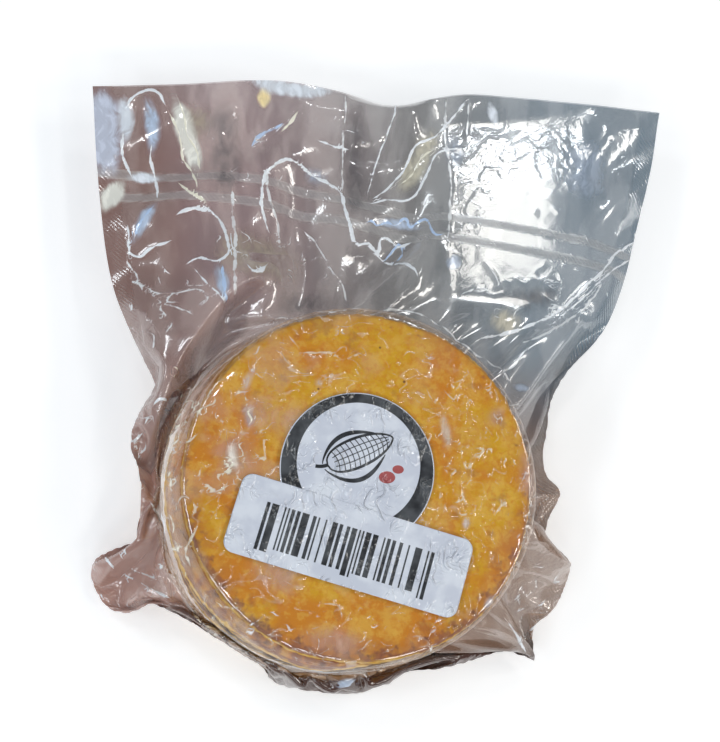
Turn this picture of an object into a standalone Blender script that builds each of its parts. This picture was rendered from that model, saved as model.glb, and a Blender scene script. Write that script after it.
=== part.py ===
"""A vacuum-packed stack of five arepa corn cakes, lying flat with its two labels up.

The pack is three sub-parts: the clear bag with the stack it is shrunk onto, a round label on top
of it, and a rectangular bar label that overlaps the round one. The origin is the middle of the
stack's underside, +Z is up and +Y points along the flap to the bag's mouth.
"""

import math

import bmesh
import bpy
import numpy as np

MM = 0.001

# The stack: five round cakes, pressed together and leaning a little to the right.
CAKE_RADIUS = 57.5 * MM
CAKE_COUNT = 5
CAKE_HEIGHT = 10.4 * MM
STACK_HEIGHT = CAKE_COUNT * CAKE_HEIGHT
STACK_LEAN = np.array([5.0, 1.5]) * MM  # from the middle of the base to the middle of the top
FACE_RADIUS = 53.5 * MM  # the flat part of the top and of the underside
FACE_RING_SHARES = (0.35, 0.7, 1.0)  # where the mesh's rings lie on that flat part
RIM_WIDTH = 1.2 * MM  # how far inside the cakes' edge the rounding of the outer rims starts
RIM_DROP = 1.0 * MM  # how far the face has dropped there
RIM_HEIGHT = 3.2 * MM  # how far it has dropped at the cakes' full radius
GROOVE_DEPTH = 0.8 * MM  # how far the bag is drawn in between two cakes
GROOVE_SHARPNESS = 8  # a higher power makes the grooves narrower
SIDE_RINGS_ABOVE_FIN = (0.5, 1.0, 1.5, 1.9)  # in cake heights below the top
SIDE_RING_BELOW_FIN = 0.45  # in cake heights above the base

# The bag: two films, welded round their edge, that stand out from the stack as a thin fin.
FIN_THICKNESS = 1.6 * MM
EDGE_THICKNESS = 1.1 * MM
FIN_ROOT_HEIGHT = 24.0 * MM  # where the two films meet at the stack's side
LOWEST_ROOT_HEIGHT = 12.0 * MM  # the same, beside a part of the edge that hangs low
ROOT_ABOVE_EDGE = 8.0 * MM
FIN_SLOPE_LENGTH = 4.0 * MM  # how soon the upper film comes down to the fin, at a narrow part
FLAP_SLOPE_LENGTH = 9.0 * MM  # the same, on the long flap
LONG_SPAN = 3 * FLAP_SLOPE_LENGTH  # the fin counts as the flap where it is longer than this
MOST_SLOPE = 0.4  # longest slope, as a share of the fin's length
UPPER_RISE = 6.0 * MM  # how far the upper film stands off the fin at the stack
LOWER_RISE = 4.0 * MM  # the same, under the fin
FIN_RING_SHARES = (0.05, 0.12, 0.22, 0.38, 0.6, 0.82, 1.0)  # from the stack to the edge
EDGE_SPACING = 6.5 * MM  # between the mesh's points along the edge
PLEAT_HEIGHT = 1.0 * MM
PLEATS_AROUND = 23
FINER_PLEATS_AROUND = 39
FINER_PLEAT_SHARE = 0.6
FINER_PLEAT_START = 1.0  # their phase, in radians
PLEATED_SPAN = 40.0 * MM  # the fin is fully pleated where it is longer than this

# The labels: thin paper on the flat top, each clear of what is under it.
LABEL_THICKNESS = 0.3 * MM
LABEL_GAP = 0.3 * MM
ROUND_LABEL_RADIUS = 24.75 * MM
ROUND_LABEL_CENTRE = np.array([3.8, 5.2]) * MM
BAR_LABEL_SIZE = np.array([76.0, 25.4]) * MM
BAR_LABEL_CENTRE = np.array([1.3, -19.0]) * MM
BAR_LABEL_TURN = math.radians(-16.0)
BAR_LABEL_CORNER = 3.5 * MM
ROUND_LABEL_SIDES = 72
BAR_LABEL_CORNER_POINTS = 7
SHARP_ANGLE = math.radians(50)  # the bag's shading breaks at a sharper edge than this

# Each finish's colour and roughness, as they look from outside.
BAG_COLOUR, BAG_ROUGHNESS = (0.47, 0.27, 0.06, 1.0), 0.15
ROUND_LABEL_COLOUR = (0.05, 0.05, 0.05, 1.0)
BAR_LABEL_COLOUR = (0.58, 0.63, 0.72, 1.0)
LABEL_ROUGHNESS = 0.45

# The bag's edge, counter-clockwise from the mouth's right corner, in millimetres. Each run is a
# smooth curve through its points, and two runs meet at a corner.
EDGE_RUNS = {
    "mouth": [
        (125, 151, 20), (109, 152, 20), (62, 152.5, 22), (43, 151.5, 23), (21, 146.5, 20),
        (3.5, 150.5, 21), (-24, 152, 24), (-57, 148.5, 23), (-87.5, 146, 22),
    ],
    "left_side": [
        (-87.5, 146, 22), (-84.5, 114.5, 21), (-78.5, 76.5, 23), (-70.5, 55.5, 24), (-61, 37, 24),
    ],
    "left_wing": [
        (-61, 37, 24), (-67, 25.5, 24), (-68.5, 16, 24), (-65.5, 7.5, 24), (-64.5, -3, 22), (-66, -15, 16),
    ],
    "left_ear": [
        (-66, -15, 16), (-73, -17, 11), (-79.5, -20.5, 7), (-80, -27.5, 6), (-74.5, -36, 6),
        (-67, -38, 10), (-60, -35, 15),
    ],
    "front_left": [
        (-60, -35, 15), (-50, -39.5, 17), (-39, -46, 17), (-30, -51.5, 16), (-22, -56, 13),
    ],
    "front_fold": [
        (-22, -56, 13), (-19.5, -59.5, 8), (-14, -62, 5), (-1, -64, 4), (11, -64, 4), (20, -61, 5),
        (27, -57, 10),
    ],
    "front_right": [
        (27, -57, 10), (34, -56.5, 16), (44.5, -54.5, 16), (58, -50.5, 14), (66, -51, 8), (73, -53.5, 6),
    ],
    "right_ear": [
        (73, -53.5, 6), (70.5, -42.5, 14), (76, -37.5, 16), (81, -30.5, 15), (84, -19.5, 15),
        (73.5, -12.5, 20),
    ],
    "right_wing": [
        (73.5, -12.5, 20), (75, -5.5, 22), (79.5, 3.5, 22), (74.5, 9.5, 23), (73, 16.5, 24), (74.5, 23, 24),
    ],
    "right_side": [
        (74.5, 23, 24), (77, 36, 24), (84, 47.5, 24), (97.5, 62.5, 24), (106.5, 82, 23), (112.5, 102, 22),
        (120, 127, 21), (125, 151, 20),
    ],
}
CURVE_STEPS = 24  # between two points of a run


def smooth_run(points):
    """Points along a Catmull-Rom curve through the given ones, without the last."""
    given = np.array(points, float) * MM
    padded = np.vstack([2 * given[0] - given[1], given, 2 * given[-1] - given[-2]])
    share = np.linspace(0, 1, CURVE_STEPS, endpoint=False)[:, None]
    pieces = []
    for before, start, end, after in zip(padded, padded[1:], padded[2:], padded[3:]):
        pieces.append(
            start
            + 0.5 * share * (end - before)
            + share**2 * (before - 2.5 * start + 2 * end - 0.5 * after)
            + 0.5 * share**3 * (3 * start - 3 * end + after - before)
        )
    return np.vstack(pieces)


def bag_edge():
    """The bag's edge as evenly spaced points, each with the height of the seam there."""
    path = np.vstack([smooth_run(run) for run in EDGE_RUNS.values()])
    closed = np.vstack([path, path[:1]])
    along = np.concatenate([[0], np.cumsum(np.linalg.norm(np.diff(closed[:, :2], axis=0), axis=1))])
    count = round(along[-1] / EDGE_SPACING)
    wanted = np.arange(count) * along[-1] / count
    return np.column_stack([np.interp(wanted, along, closed[:, axis]) for axis in range(3)])


def ease(share):
    """A smooth step from 0 to 1."""
    share = np.clip(share, 0, 1)
    return share * share * (3 - 2 * share)


def stack_ring(directions, radius, height):
    """A ring round the leaning stack, one point in each direction."""
    lean = STACK_LEAN * height / STACK_HEIGHT
    ring = lean + directions * np.reshape(radius, (-1, 1))
    return np.column_stack([ring, np.broadcast_to(height, len(ring))])


def side_radius(height):
    """The stack's outer radius at a height, drawn in between the cakes."""
    between = math.cos(math.pi * height / CAKE_HEIGHT) ** GROOVE_SHARPNESS
    return CAKE_RADIUS - GROOVE_DEPTH * between


def stack_rings(directions, heights, face_height, inward):
    """Rings over one face of the stack, from near its middle, and then along its side."""
    rings = [stack_ring(directions, share * FACE_RADIUS, face_height) for share in FACE_RING_SHARES]
    rings.append(stack_ring(directions, CAKE_RADIUS - RIM_WIDTH, face_height + inward * RIM_DROP))
    rings.append(stack_ring(directions, CAKE_RADIUS, face_height + inward * RIM_HEIGHT))
    rings.extend(stack_ring(directions, side_radius(height), height) for height in heights)
    return rings


def fin_rings(edge, directions, root_height, upper):
    """Rings of one film from the stack's side out to the edge."""
    root = stack_ring(directions, CAKE_RADIUS, FIN_ROOT_HEIGHT)[:, :2]
    span = np.linalg.norm(edge[:, :2] - root, axis=1)
    slope_length = np.where(span > LONG_SPAN, FLAP_SLOPE_LENGTH, FIN_SLOPE_LENGTH)
    slope_length = np.minimum(slope_length, MOST_SLOPE * span)
    side, rise = (1, UPPER_RISE) if upper else (-1, LOWER_RISE)
    turn = np.arctan2(directions[:, 1], directions[:, 0])
    finer = np.sin(FINER_PLEATS_AROUND * turn + FINER_PLEAT_START)
    pleats = np.sin(PLEATS_AROUND * turn) + FINER_PLEAT_SHARE * finer
    pleats *= PLEAT_HEIGHT * ease(span / PLEATED_SPAN)
    rings = []
    for share in FIN_RING_SHARES:
        out = share * span
        plan = root + share * (edge[:, :2] - root)
        middle = root_height + (edge[:, 2] - root_height) * ease(share)
        thickness = FIN_THICKNESS + (EDGE_THICKNESS - FIN_THICKNESS) * share
        wedge = rise * np.exp(-out / slope_length) * (1 - share)
        bow = 4 * share * (1 - share)
        rings.append(np.column_stack([plan, middle + side * (0.5 * thickness + wedge) + bow * pleats]))
    return rings


def add_object(name, mesh_data, colour, roughness):
    """A named object at the origin with its own material."""
    mesh = bpy.data.meshes.new(name)
    mesh_data.to_mesh(mesh)
    mesh_data.free()
    thing = bpy.data.objects.new(name, mesh)
    bpy.context.scene.collection.objects.link(thing)
    material = bpy.data.materials.new(name + "_finish")
    material.use_nodes = True
    shader = material.node_tree.nodes["Principled BSDF"]
    shader.inputs["Base Color"].default_value = colour
    shader.inputs["Roughness"].default_value = roughness
    shader.inputs["Metallic"].default_value = 0.0
    mesh.materials.append(material)
    return thing


def skin(shape, rings, middle, upward):
    """Joins successive rings by quads and closes the first one round a middle point."""
    loops = [[shape.verts.new(point) for point in ring] for ring in rings[:-1]] + [rings[-1]]
    centre = shape.verts.new(middle)
    count = len(loops[0])
    for i in range(count):
        j = (i + 1) % count
        fan = (centre, loops[0][i], loops[0][j])
        shape.faces.new(fan if upward else fan[::-1])
        for inner, outer in zip(loops, loops[1:]):
            quad = (inner[i], outer[i], outer[j], inner[j])
            shape.faces.new(quad if upward else quad[::-1])


def build_bag():
    """The bag with its contents: one closed skin of an upper and a lower film."""
    edge = bag_edge()
    out = edge[:, :2] - STACK_LEAN * FIN_ROOT_HEIGHT / STACK_HEIGHT
    directions = out / np.linalg.norm(out, axis=1)[:, None]
    root_height = np.clip(edge[:, 2] + ROOT_ABOVE_EDGE, LOWEST_ROOT_HEIGHT, FIN_ROOT_HEIGHT)

    upper_heights = [STACK_HEIGHT - step * CAKE_HEIGHT for step in SIDE_RINGS_ABOVE_FIN]
    lower_heights = [SIDE_RING_BELOW_FIN * CAKE_HEIGHT]
    upper = stack_rings(directions, upper_heights, STACK_HEIGHT, -1)
    upper += fin_rings(edge, directions, root_height, upper=True)
    lower = stack_rings(directions, lower_heights, 0.0, 1)
    lower += fin_rings(edge, directions, root_height, upper=False)

    shape = bmesh.new()
    upper_edge = [shape.verts.new(point) for point in upper[-1]]
    lower_edge = [shape.verts.new(point) for point in lower[-1]]
    skin(shape, upper[:-1] + [upper_edge], (*STACK_LEAN, STACK_HEIGHT), upward=True)
    skin(shape, lower[:-1] + [lower_edge], (0, 0, 0), upward=False)
    for i in range(len(edge)):
        j = (i + 1) % len(edge)
        shape.faces.new((upper_edge[i], lower_edge[i], lower_edge[j], upper_edge[j]))
    bag = add_object("vacuum_bag", shape, BAG_COLOUR, BAG_ROUGHNESS)
    bag.data.shade_smooth()
    bag.data.set_sharp_from_angle(angle=SHARP_ANGLE)


def add_plate(name, outline, underside, colour):
    """A thin level plate with the given outline, standing at the given height."""
    shape = bmesh.new()
    base = shape.faces.new([shape.verts.new((x, y, underside)) for x, y in outline])
    raised = bmesh.ops.extrude_face_region(shape, geom=[base])
    top = [item for item in raised["geom"] if isinstance(item, bmesh.types.BMVert)]
    bmesh.ops.translate(shape, verts=top, vec=(0, 0, LABEL_THICKNESS))
    bmesh.ops.recalc_face_normals(shape, faces=shape.faces)
    add_object(name, shape, colour, LABEL_ROUGHNESS)


def build_round_label():
    """The round label, flat on the bag's top."""
    turns = np.linspace(0, 2 * math.pi, ROUND_LABEL_SIDES, endpoint=False)
    outline = ROUND_LABEL_CENTRE + ROUND_LABEL_RADIUS * np.column_stack([np.cos(turns), np.sin(turns)])
    add_plate("round_label", outline, STACK_HEIGHT + LABEL_GAP, ROUND_LABEL_COLOUR)


def build_bar_label():
    """The rectangular label with rounded corners, over the round one's lower part."""
    half = BAR_LABEL_SIZE / 2 - BAR_LABEL_CORNER
    outline = []
    for quarter, (sign_x, sign_y) in enumerate([(1, 1), (-1, 1), (-1, -1), (1, -1)]):
        for turn in np.linspace(quarter, quarter + 1, BAR_LABEL_CORNER_POINTS) * math.pi / 2:
            outline.append(
                (
                    sign_x * half[0] + BAR_LABEL_CORNER * math.cos(turn),
                    sign_y * half[1] + BAR_LABEL_CORNER * math.sin(turn),
                )
            )
    cosine, sine = math.cos(BAR_LABEL_TURN), math.sin(BAR_LABEL_TURN)
    turned = np.array(outline) @ np.array([[cosine, sine], [-sine, cosine]]) + BAR_LABEL_CENTRE
    underside = STACK_HEIGHT + 2 * LABEL_GAP + LABEL_THICKNESS
    add_plate("bar_label", turned, underside, BAR_LABEL_COLOUR)


def main():
    """Clears the scene and models the pack."""
    for thing in list(bpy.data.objects):
        bpy.data.objects.remove(thing)
    build_bag()
    build_round_label()
    build_bar_label()


main()
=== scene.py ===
"""Looks of a clear vacuum bag with five toasted corn cakes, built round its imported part.

Two flat layers of film are formed over the stack: they are sealed along their edges, drawn
onto the cakes by the missing air, and the spare film of the flap buckles into pleats. Sizes
in the classes are millimetres; a mesh is turned to metres as it is made.
"""

import sys
import logging
import math
from collections.abc import Sequence
from dataclasses import dataclass, field
from enum import Enum
from functools import cache

import bpy
import numpy as np
from bpy.types import Material, Node, NodeOutputs, NodeSocket, NodeTree, Object
from mathutils import Matrix, Vector, noise


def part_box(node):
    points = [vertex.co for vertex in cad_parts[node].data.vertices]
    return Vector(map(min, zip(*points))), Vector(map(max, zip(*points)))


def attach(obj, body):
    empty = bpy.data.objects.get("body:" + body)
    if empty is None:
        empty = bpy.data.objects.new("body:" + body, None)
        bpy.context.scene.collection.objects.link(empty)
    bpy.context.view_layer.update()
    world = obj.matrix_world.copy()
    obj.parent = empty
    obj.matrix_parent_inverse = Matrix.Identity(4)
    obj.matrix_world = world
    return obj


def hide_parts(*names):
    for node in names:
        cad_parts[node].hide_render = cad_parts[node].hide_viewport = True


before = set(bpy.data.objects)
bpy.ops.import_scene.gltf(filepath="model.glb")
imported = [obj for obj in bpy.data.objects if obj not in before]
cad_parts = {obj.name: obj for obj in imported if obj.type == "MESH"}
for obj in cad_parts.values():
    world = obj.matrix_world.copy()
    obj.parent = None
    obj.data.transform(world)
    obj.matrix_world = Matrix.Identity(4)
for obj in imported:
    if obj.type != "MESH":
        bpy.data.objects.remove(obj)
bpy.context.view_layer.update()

Array = np.ndarray
Colour = tuple[float, float, float]
Point = tuple[float, float, float]
Spot = tuple[float, float]
Pair = tuple[Array, Array]
Wire = NodeSocket
Feed = Wire | float | Sequence[float]

LOG = logging.getLogger("corn_cakes")
MM = 0.001
TINY = 1e-6
BODY = "root"
BAG, ROUND_LABEL, BAR_LABEL = "vacuum_bag", "round_label", "bar_label"
STATE, PAINTED_GLEAMS, CREASE_HIGHLIGHTS = "film_state", "film_painted_gleams", "film_crease_highlights"
FLAT_MAP = "flat_film"
FLAT_SPAN = 400.0


def in_mm(corner: Vector) -> Array:
    """A frame corner as an array in millimetres."""
    return np.array(corner) / MM


def eased(low: float, high: float, value: Array) -> Array:
    """Climb smoothly from 0 at the low value to 1 at the high one."""
    share = np.clip((value - low) / (high - low), 0.0, 1.0)
    return share * share * (3.0 - 2.0 * share)


@dataclass(frozen=True)
class PlaneNoise:
    """Soft hills and hollows over a plane, from -1 to 1, the same on every run."""

    size: float
    seed: int
    lattice: int = 64
    shift: Spot = (29.0, 23.0)

    def at(self, x: Array, y: Array) -> Array:
        """Read the noise.

        Args:
            x: First coordinate of each place.
            y: Second coordinate of each place.

        Returns:
            The height at each place.
        """
        grid = np.random.default_rng(self.seed).uniform(-1.0, 1.0, (self.lattice, self.lattice))
        across, along = x / self.size + self.shift[0], y / self.size + self.shift[1]
        column, row = np.floor(across).astype(int), np.floor(along).astype(int)
        right, up = across - column, along - row
        right = right**3 * (right * (right * 6 - 15) + 10)
        up = up**3 * (up * (up * 6 - 15) + 10)
        column, row = column % (self.lattice - 1), row % (self.lattice - 1)
        near = grid[row, column] * (1 - right) + grid[row, column + 1] * right
        far = grid[row + 1, column] * (1 - right) + grid[row + 1, column + 1] * right
        return near * (1 - up) + far * up


def solid_noise(points: Array, size: float | Sequence[float], seed: int) -> Array:
    """Read smooth noise in space.

    Args:
        points: Places, with their coordinates on the last axis.
        size: Size of its lumps, for all axes or for each.
        seed: Which noise to read.

    Returns:
        Heights from about -1 to 1, one for each place.
    """
    places = points.reshape(-1, 3) / np.asarray(size) + np.array([seed * 17.3, seed * 5.1, seed * 9.7])
    heights = [noise.noise(place) for place in places.tolist()]
    return np.array(heights).reshape(points.shape[:-1])


def grid_faces(rows: int, columns: int, closed: bool = False, start: int = 0) -> Array:
    """List the four-sided faces of a grid of points.

    Args:
        rows: Points along the first direction.
        columns: Points along the second.
        closed: Whether the last column joins the first.
        start: Number of the grid's first point.

    Returns:
        Point numbers, one row of four for each face.
    """
    row = np.arange(rows - 1)[:, None]
    column = np.arange(columns if closed else columns - 1)[None, :]
    after = (column + 1) % columns
    corners = (row * columns + column, row * columns + after)
    corners += ((row + 1) * columns + after, (row + 1) * columns + column)
    return np.stack(np.broadcast_arrays(*corners), -1).reshape(-1, 4) + start


def make_mesh(name: str, points: Array, faces: Sequence[Array], finish: Material) -> Object:
    """Make a smooth-shaded object.

    Args:
        name: Name of the piece.
        points: Its points, in millimetres.
        faces: Arrays of faces, each with its own number of corners.
        finish: Its material.

    Returns:
        The object, linked to the scene.
    """
    mesh = bpy.data.meshes.new(name)
    sides = [side for part in faces for side in part.tolist()]
    mesh.from_pydata((points.reshape(-1, 3) * MM).tolist(), [], sides)
    mesh.shade_smooth()
    mesh.materials.append(finish)
    made = bpy.data.objects.new(name, mesh)
    bpy.context.scene.collection.objects.link(made)
    return made


def paint_points(made: Object, name: str, values: Array) -> None:
    """Store a colour at each point of a mesh.

    Args:
        made: The object.
        name: Name of the attribute.
        values: Up to four numbers for each point, filled up with ones.
    """
    colours = np.ones((len(made.data.vertices), 4), np.float32)
    colours[:, : values.shape[-1]] = values.reshape(-1, values.shape[-1])
    layer = made.data.attributes.new(name, "FLOAT_COLOR", "POINT")
    layer.data.foreach_set("color", colours.ravel())


def fit_in(made: Object, slot: str, *nodes: str) -> Object:
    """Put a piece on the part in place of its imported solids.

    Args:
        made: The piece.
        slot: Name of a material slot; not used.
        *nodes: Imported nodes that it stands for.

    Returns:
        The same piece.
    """
    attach(made, BODY)
    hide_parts(*nodes)
    LOG.info("%s: %d points, %d faces", made.name, len(made.data.vertices), len(made.data.polygons))
    return made


# Shader writing.


class Wiring:
    """Writes shader nodes into one tree, one step after another."""

    def __init__(self, tree: NodeTree) -> None:
        """Start writing into a tree."""
        self.tree = tree

    def node(self, kind: str, **settings: object) -> Node:
        """Add a node of a kind with its settings."""
        made = self.tree.nodes.new(kind)
        for name, value in settings.items():
            setattr(made, name, value)
        return made

    def feed(self, socket: Wire, value: Feed) -> None:
        """Link a socket to another one, or set it to a constant."""
        if isinstance(value, Wire):
            self.tree.links.new(value, socket)
        elif socket.type == "RGBA":
            socket.default_value = (*value, 1.0)
        else:
            socket.default_value = value

    def give(self, node: Node, values: dict[str | int, Feed]) -> Node:
        """Link or set inputs of a node, found by name or number."""
        for name, value in values.items():
            self.feed(node.inputs[name], value)
        return node

    def calc(self, operation: str, *values: Feed, clamp: bool = False) -> Wire:
        """Work out one number from the inputs of a Math node, kept from 0 to 1 if clamped."""
        made = self.node("ShaderNodeMath", operation=operation, use_clamp=clamp)
        return self.give(made, dict(enumerate(values))).outputs[0]

    def times(self, value: Feed, *factors: Feed) -> Wire:
        """One number times others, in order."""
        for factor in factors:
            value = self.calc("MULTIPLY", value, factor)
        return value

    def scaled(self, value: Feed, factor: Feed, start: Feed) -> Wire:
        """One number times another, on top of a third."""
        return self.calc("MULTIPLY_ADD", value, factor, start)

    def rest(self, share: Feed) -> Wire:
        """What a share leaves of one."""
        return self.calc("SUBTRACT", 1.0, share)

    def move(self, operation: str, *values: Feed, output: str = "Vector") -> Wire:
        """Work out one vector, or a number from vectors, with a Vector Math node."""
        made = self.node("ShaderNodeVectorMath", operation=operation)
        return self.give(made, dict(enumerate(values))).outputs[output]

    def long(self, vector: Wire) -> Wire:
        """How long a vector is."""
        return self.move("LENGTH", vector, output="Value")

    def span(self, value: Feed, low: float, high: Feed, start: float = 0.0, end: float = 1.0) -> Wire:
        """Turn a range of values smoothly into another.

        Args:
            value: The value to read.
            low: Value that gives the start.
            high: Value that gives the end.
            start: Result at the low value.
            end: Result at the high value.

        Returns:
            The socket with the result.
        """
        made = self.node("ShaderNodeMapRange", interpolation_type="SMOOTHSTEP")
        limits = {"From Min": low, "From Max": high, "To Min": start, "To Max": end}
        return self.give(made, {"Value": value, **limits}).outputs["Result"]

    def noise(self, place: Wire, size: float, detail: float = 2.0, warp: float = 0.0) -> Node:
        """Add a noise texture.

        Args:
            place: Coordinates in millimetres.
            size: Size of its lumps in millimetres.
            detail: Octaves of finer noise.
            warp: How far it is twisted.

        Returns:
            The node, whose Fac and Color hold the noise.
        """
        lumps = {"Vector": place, "Scale": 1.0 / size, "Detail": detail, "Distortion": warp}
        return self.give(self.node("ShaderNodeTexNoise"), lumps)

    def lumps(self, place: Wire, size: float, low: float, high: float, detail: float = 2.0) -> Wire:
        """Noise with its soft middle turned into a mask between two levels."""
        return self.span(self.noise(place, size, detail).outputs["Fac"], low, high)

    def ridge(self, place: Wire, size: float, width: float, detail: float = 0.0) -> Wire:
        """Thin winding lines where a noise crosses its middle, 1 on the line."""
        middle = self.calc("SUBTRACT", self.noise(place, size, detail).outputs["Fac"], 0.5)
        return self.span(self.calc("ABSOLUTE", middle), 0.0, width, 1.0, 0.0)

    def blend(self, share: Feed, first: Feed, second: Feed) -> Wire:
        """Mix two colours: the first at a share of 0, the second at a share of 1."""
        made = self.node("ShaderNodeMix", data_type="RGBA")
        return self.give(made, {0: share, 6: first, 7: second}).outputs[2]

    def parts(self, vector: Wire) -> tuple[Wire, Wire, Wire]:
        """Split a vector into its coordinates."""
        made = self.give(self.node("ShaderNodeSeparateXYZ"), {0: vector})
        return made.outputs[0], made.outputs[1], made.outputs[2]

    def place(self) -> Wire:
        """The surface's own place in the frame, in millimetres."""
        return self.move("MULTIPLY", self.node("ShaderNodeTexCoord").outputs["Object"], (1000.0,) * 3)

    def bump(self, height: Feed) -> Wire:
        """A normal that follows a height in millimetres."""
        bump = {"Distance": MM, "Strength": 1.0, "Height": height}
        return self.give(self.node("ShaderNodeBump"), bump).outputs["Normal"]


class Effect:
    """A shader node group with named inputs and outputs, placed in each material that needs it."""

    def __init__(self, name: str, inputs: dict[str, str], outputs: dict[str, str]) -> None:
        """Open a group.

        Args:
            name: Name of the group.
            inputs: Kind of socket for each input.
            outputs: Kind of socket for each output.
        """
        self.tree = bpy.data.node_groups.new(name, "ShaderNodeTree")
        for sockets, side in ((inputs, "INPUT"), (outputs, "OUTPUT")):
            for label, kind in sockets.items():
                self.tree.interface.new_socket(label, in_out=side, socket_type=f"NodeSocket{kind}")
        self.net = Wiring(self.tree)
        self.taken = self.net.node("NodeGroupInput").outputs
        self.given = self.net.node("NodeGroupOutput").inputs

    def put(self, **results: Wire) -> None:
        """Give the group's outputs."""
        for label, wire in results.items():
            self.net.feed(self.given[label], wire)

    def place_in(self, net: Wiring, **values: Feed) -> NodeOutputs:
        """Add the group to a material, with values for its inputs, and give its outputs."""
        return net.give(net.node("ShaderNodeGroup", node_tree=self.tree), values).outputs


def new_material(name: str) -> tuple[Material, Wiring, Node]:
    """Start a material.

    Args:
        name: Name of the material.

    Returns:
        The material, the writer of its nodes, and its Principled node.
    """
    made = bpy.data.materials.new(name)
    made.use_nodes = True
    net = Wiring(made.node_tree)
    return made, net, made.node_tree.nodes["Principled BSDF"]


# The stack of cakes.


@dataclass(frozen=True)
class CakePlace:
    """Where one cake's middle lies over the bag's origin, and how wide it is."""

    x: float
    y: float
    radius: float


@dataclass(frozen=True)
class CakeStack:
    """The five cakes as the film meets them: discs with rounded rims."""

    places: tuple[CakePlace, ...] = (
        CakePlace(-0.5, 0.0, 57.0),
        CakePlace(0.8, -0.6, 57.8),
        CakePlace(-0.8, 0.8, 57.3),
        CakePlace(0.3, 0.2, 58.0),
        CakePlace(5.0, 1.5, 57.5),
    )
    thickness: float = 10.4
    rim_round: float = 3.2
    middle: Spot = (2.5, 0.7)

    @property
    def height(self) -> float:
        """Height of the whole stack."""
        return self.thickness * len(self.places)

    def reach(self, points: Array) -> Array:
        """Distance of each point from the stack's middle line."""
        return np.hypot(points[..., 0] - self.middle[0], points[..., 1] - self.middle[1])

    def meet(self, points: Array, level: int) -> Pair:
        """Find how far points lie from one cake.

        Args:
            points: The points.
            level: Which cake, counted from the bottom.

        Returns:
            The distance, less than 0 inside, and the way out of the cake.
        """
        place, half = self.places[level], self.thickness / 2
        x, y = points[..., 0] - place.x, points[..., 1] - place.y
        z = points[..., 2] - (2 * level + 1) * half
        radius = np.hypot(x, y) + TINY
        side = radius - (place.radius - self.rim_round)
        face = np.abs(z) - (half - self.rim_round)
        past_side, past_face = np.maximum(side, 0.0), np.maximum(face, 0.0)
        past = np.hypot(past_side, past_face)
        away = past + np.minimum(np.maximum(side, face), 0.0) - self.rim_round
        within = (side <= 0) & (face <= 0)
        flat = np.where(within, (side > face).astype(past.dtype), past_side / np.maximum(past, TINY))
        up = np.where(within, (side <= face).astype(past.dtype), past_face / np.maximum(past, TINY))
        return away, np.stack([flat * x / radius, flat * y / radius, up * np.sign(z)], -1)

    def distance(self, points: Array) -> Array:
        """Distance of each point from the nearest cake."""
        return np.minimum.reduce([self.meet(points, level)[0] for level in range(len(self.places))])

    def push_out(self, points: Array, clearance: float) -> None:
        """Move points in place until they clear every cake.

        Args:
            points: The points.
            clearance: How far they stay off the cakes.
        """
        for level in range(len(self.places)):
            away, out = self.meet(points, level)
            short = np.maximum(clearance - away, 0.0)
            if short.any():
                points += out * short[..., None]


# The bag's outline and cut.


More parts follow.
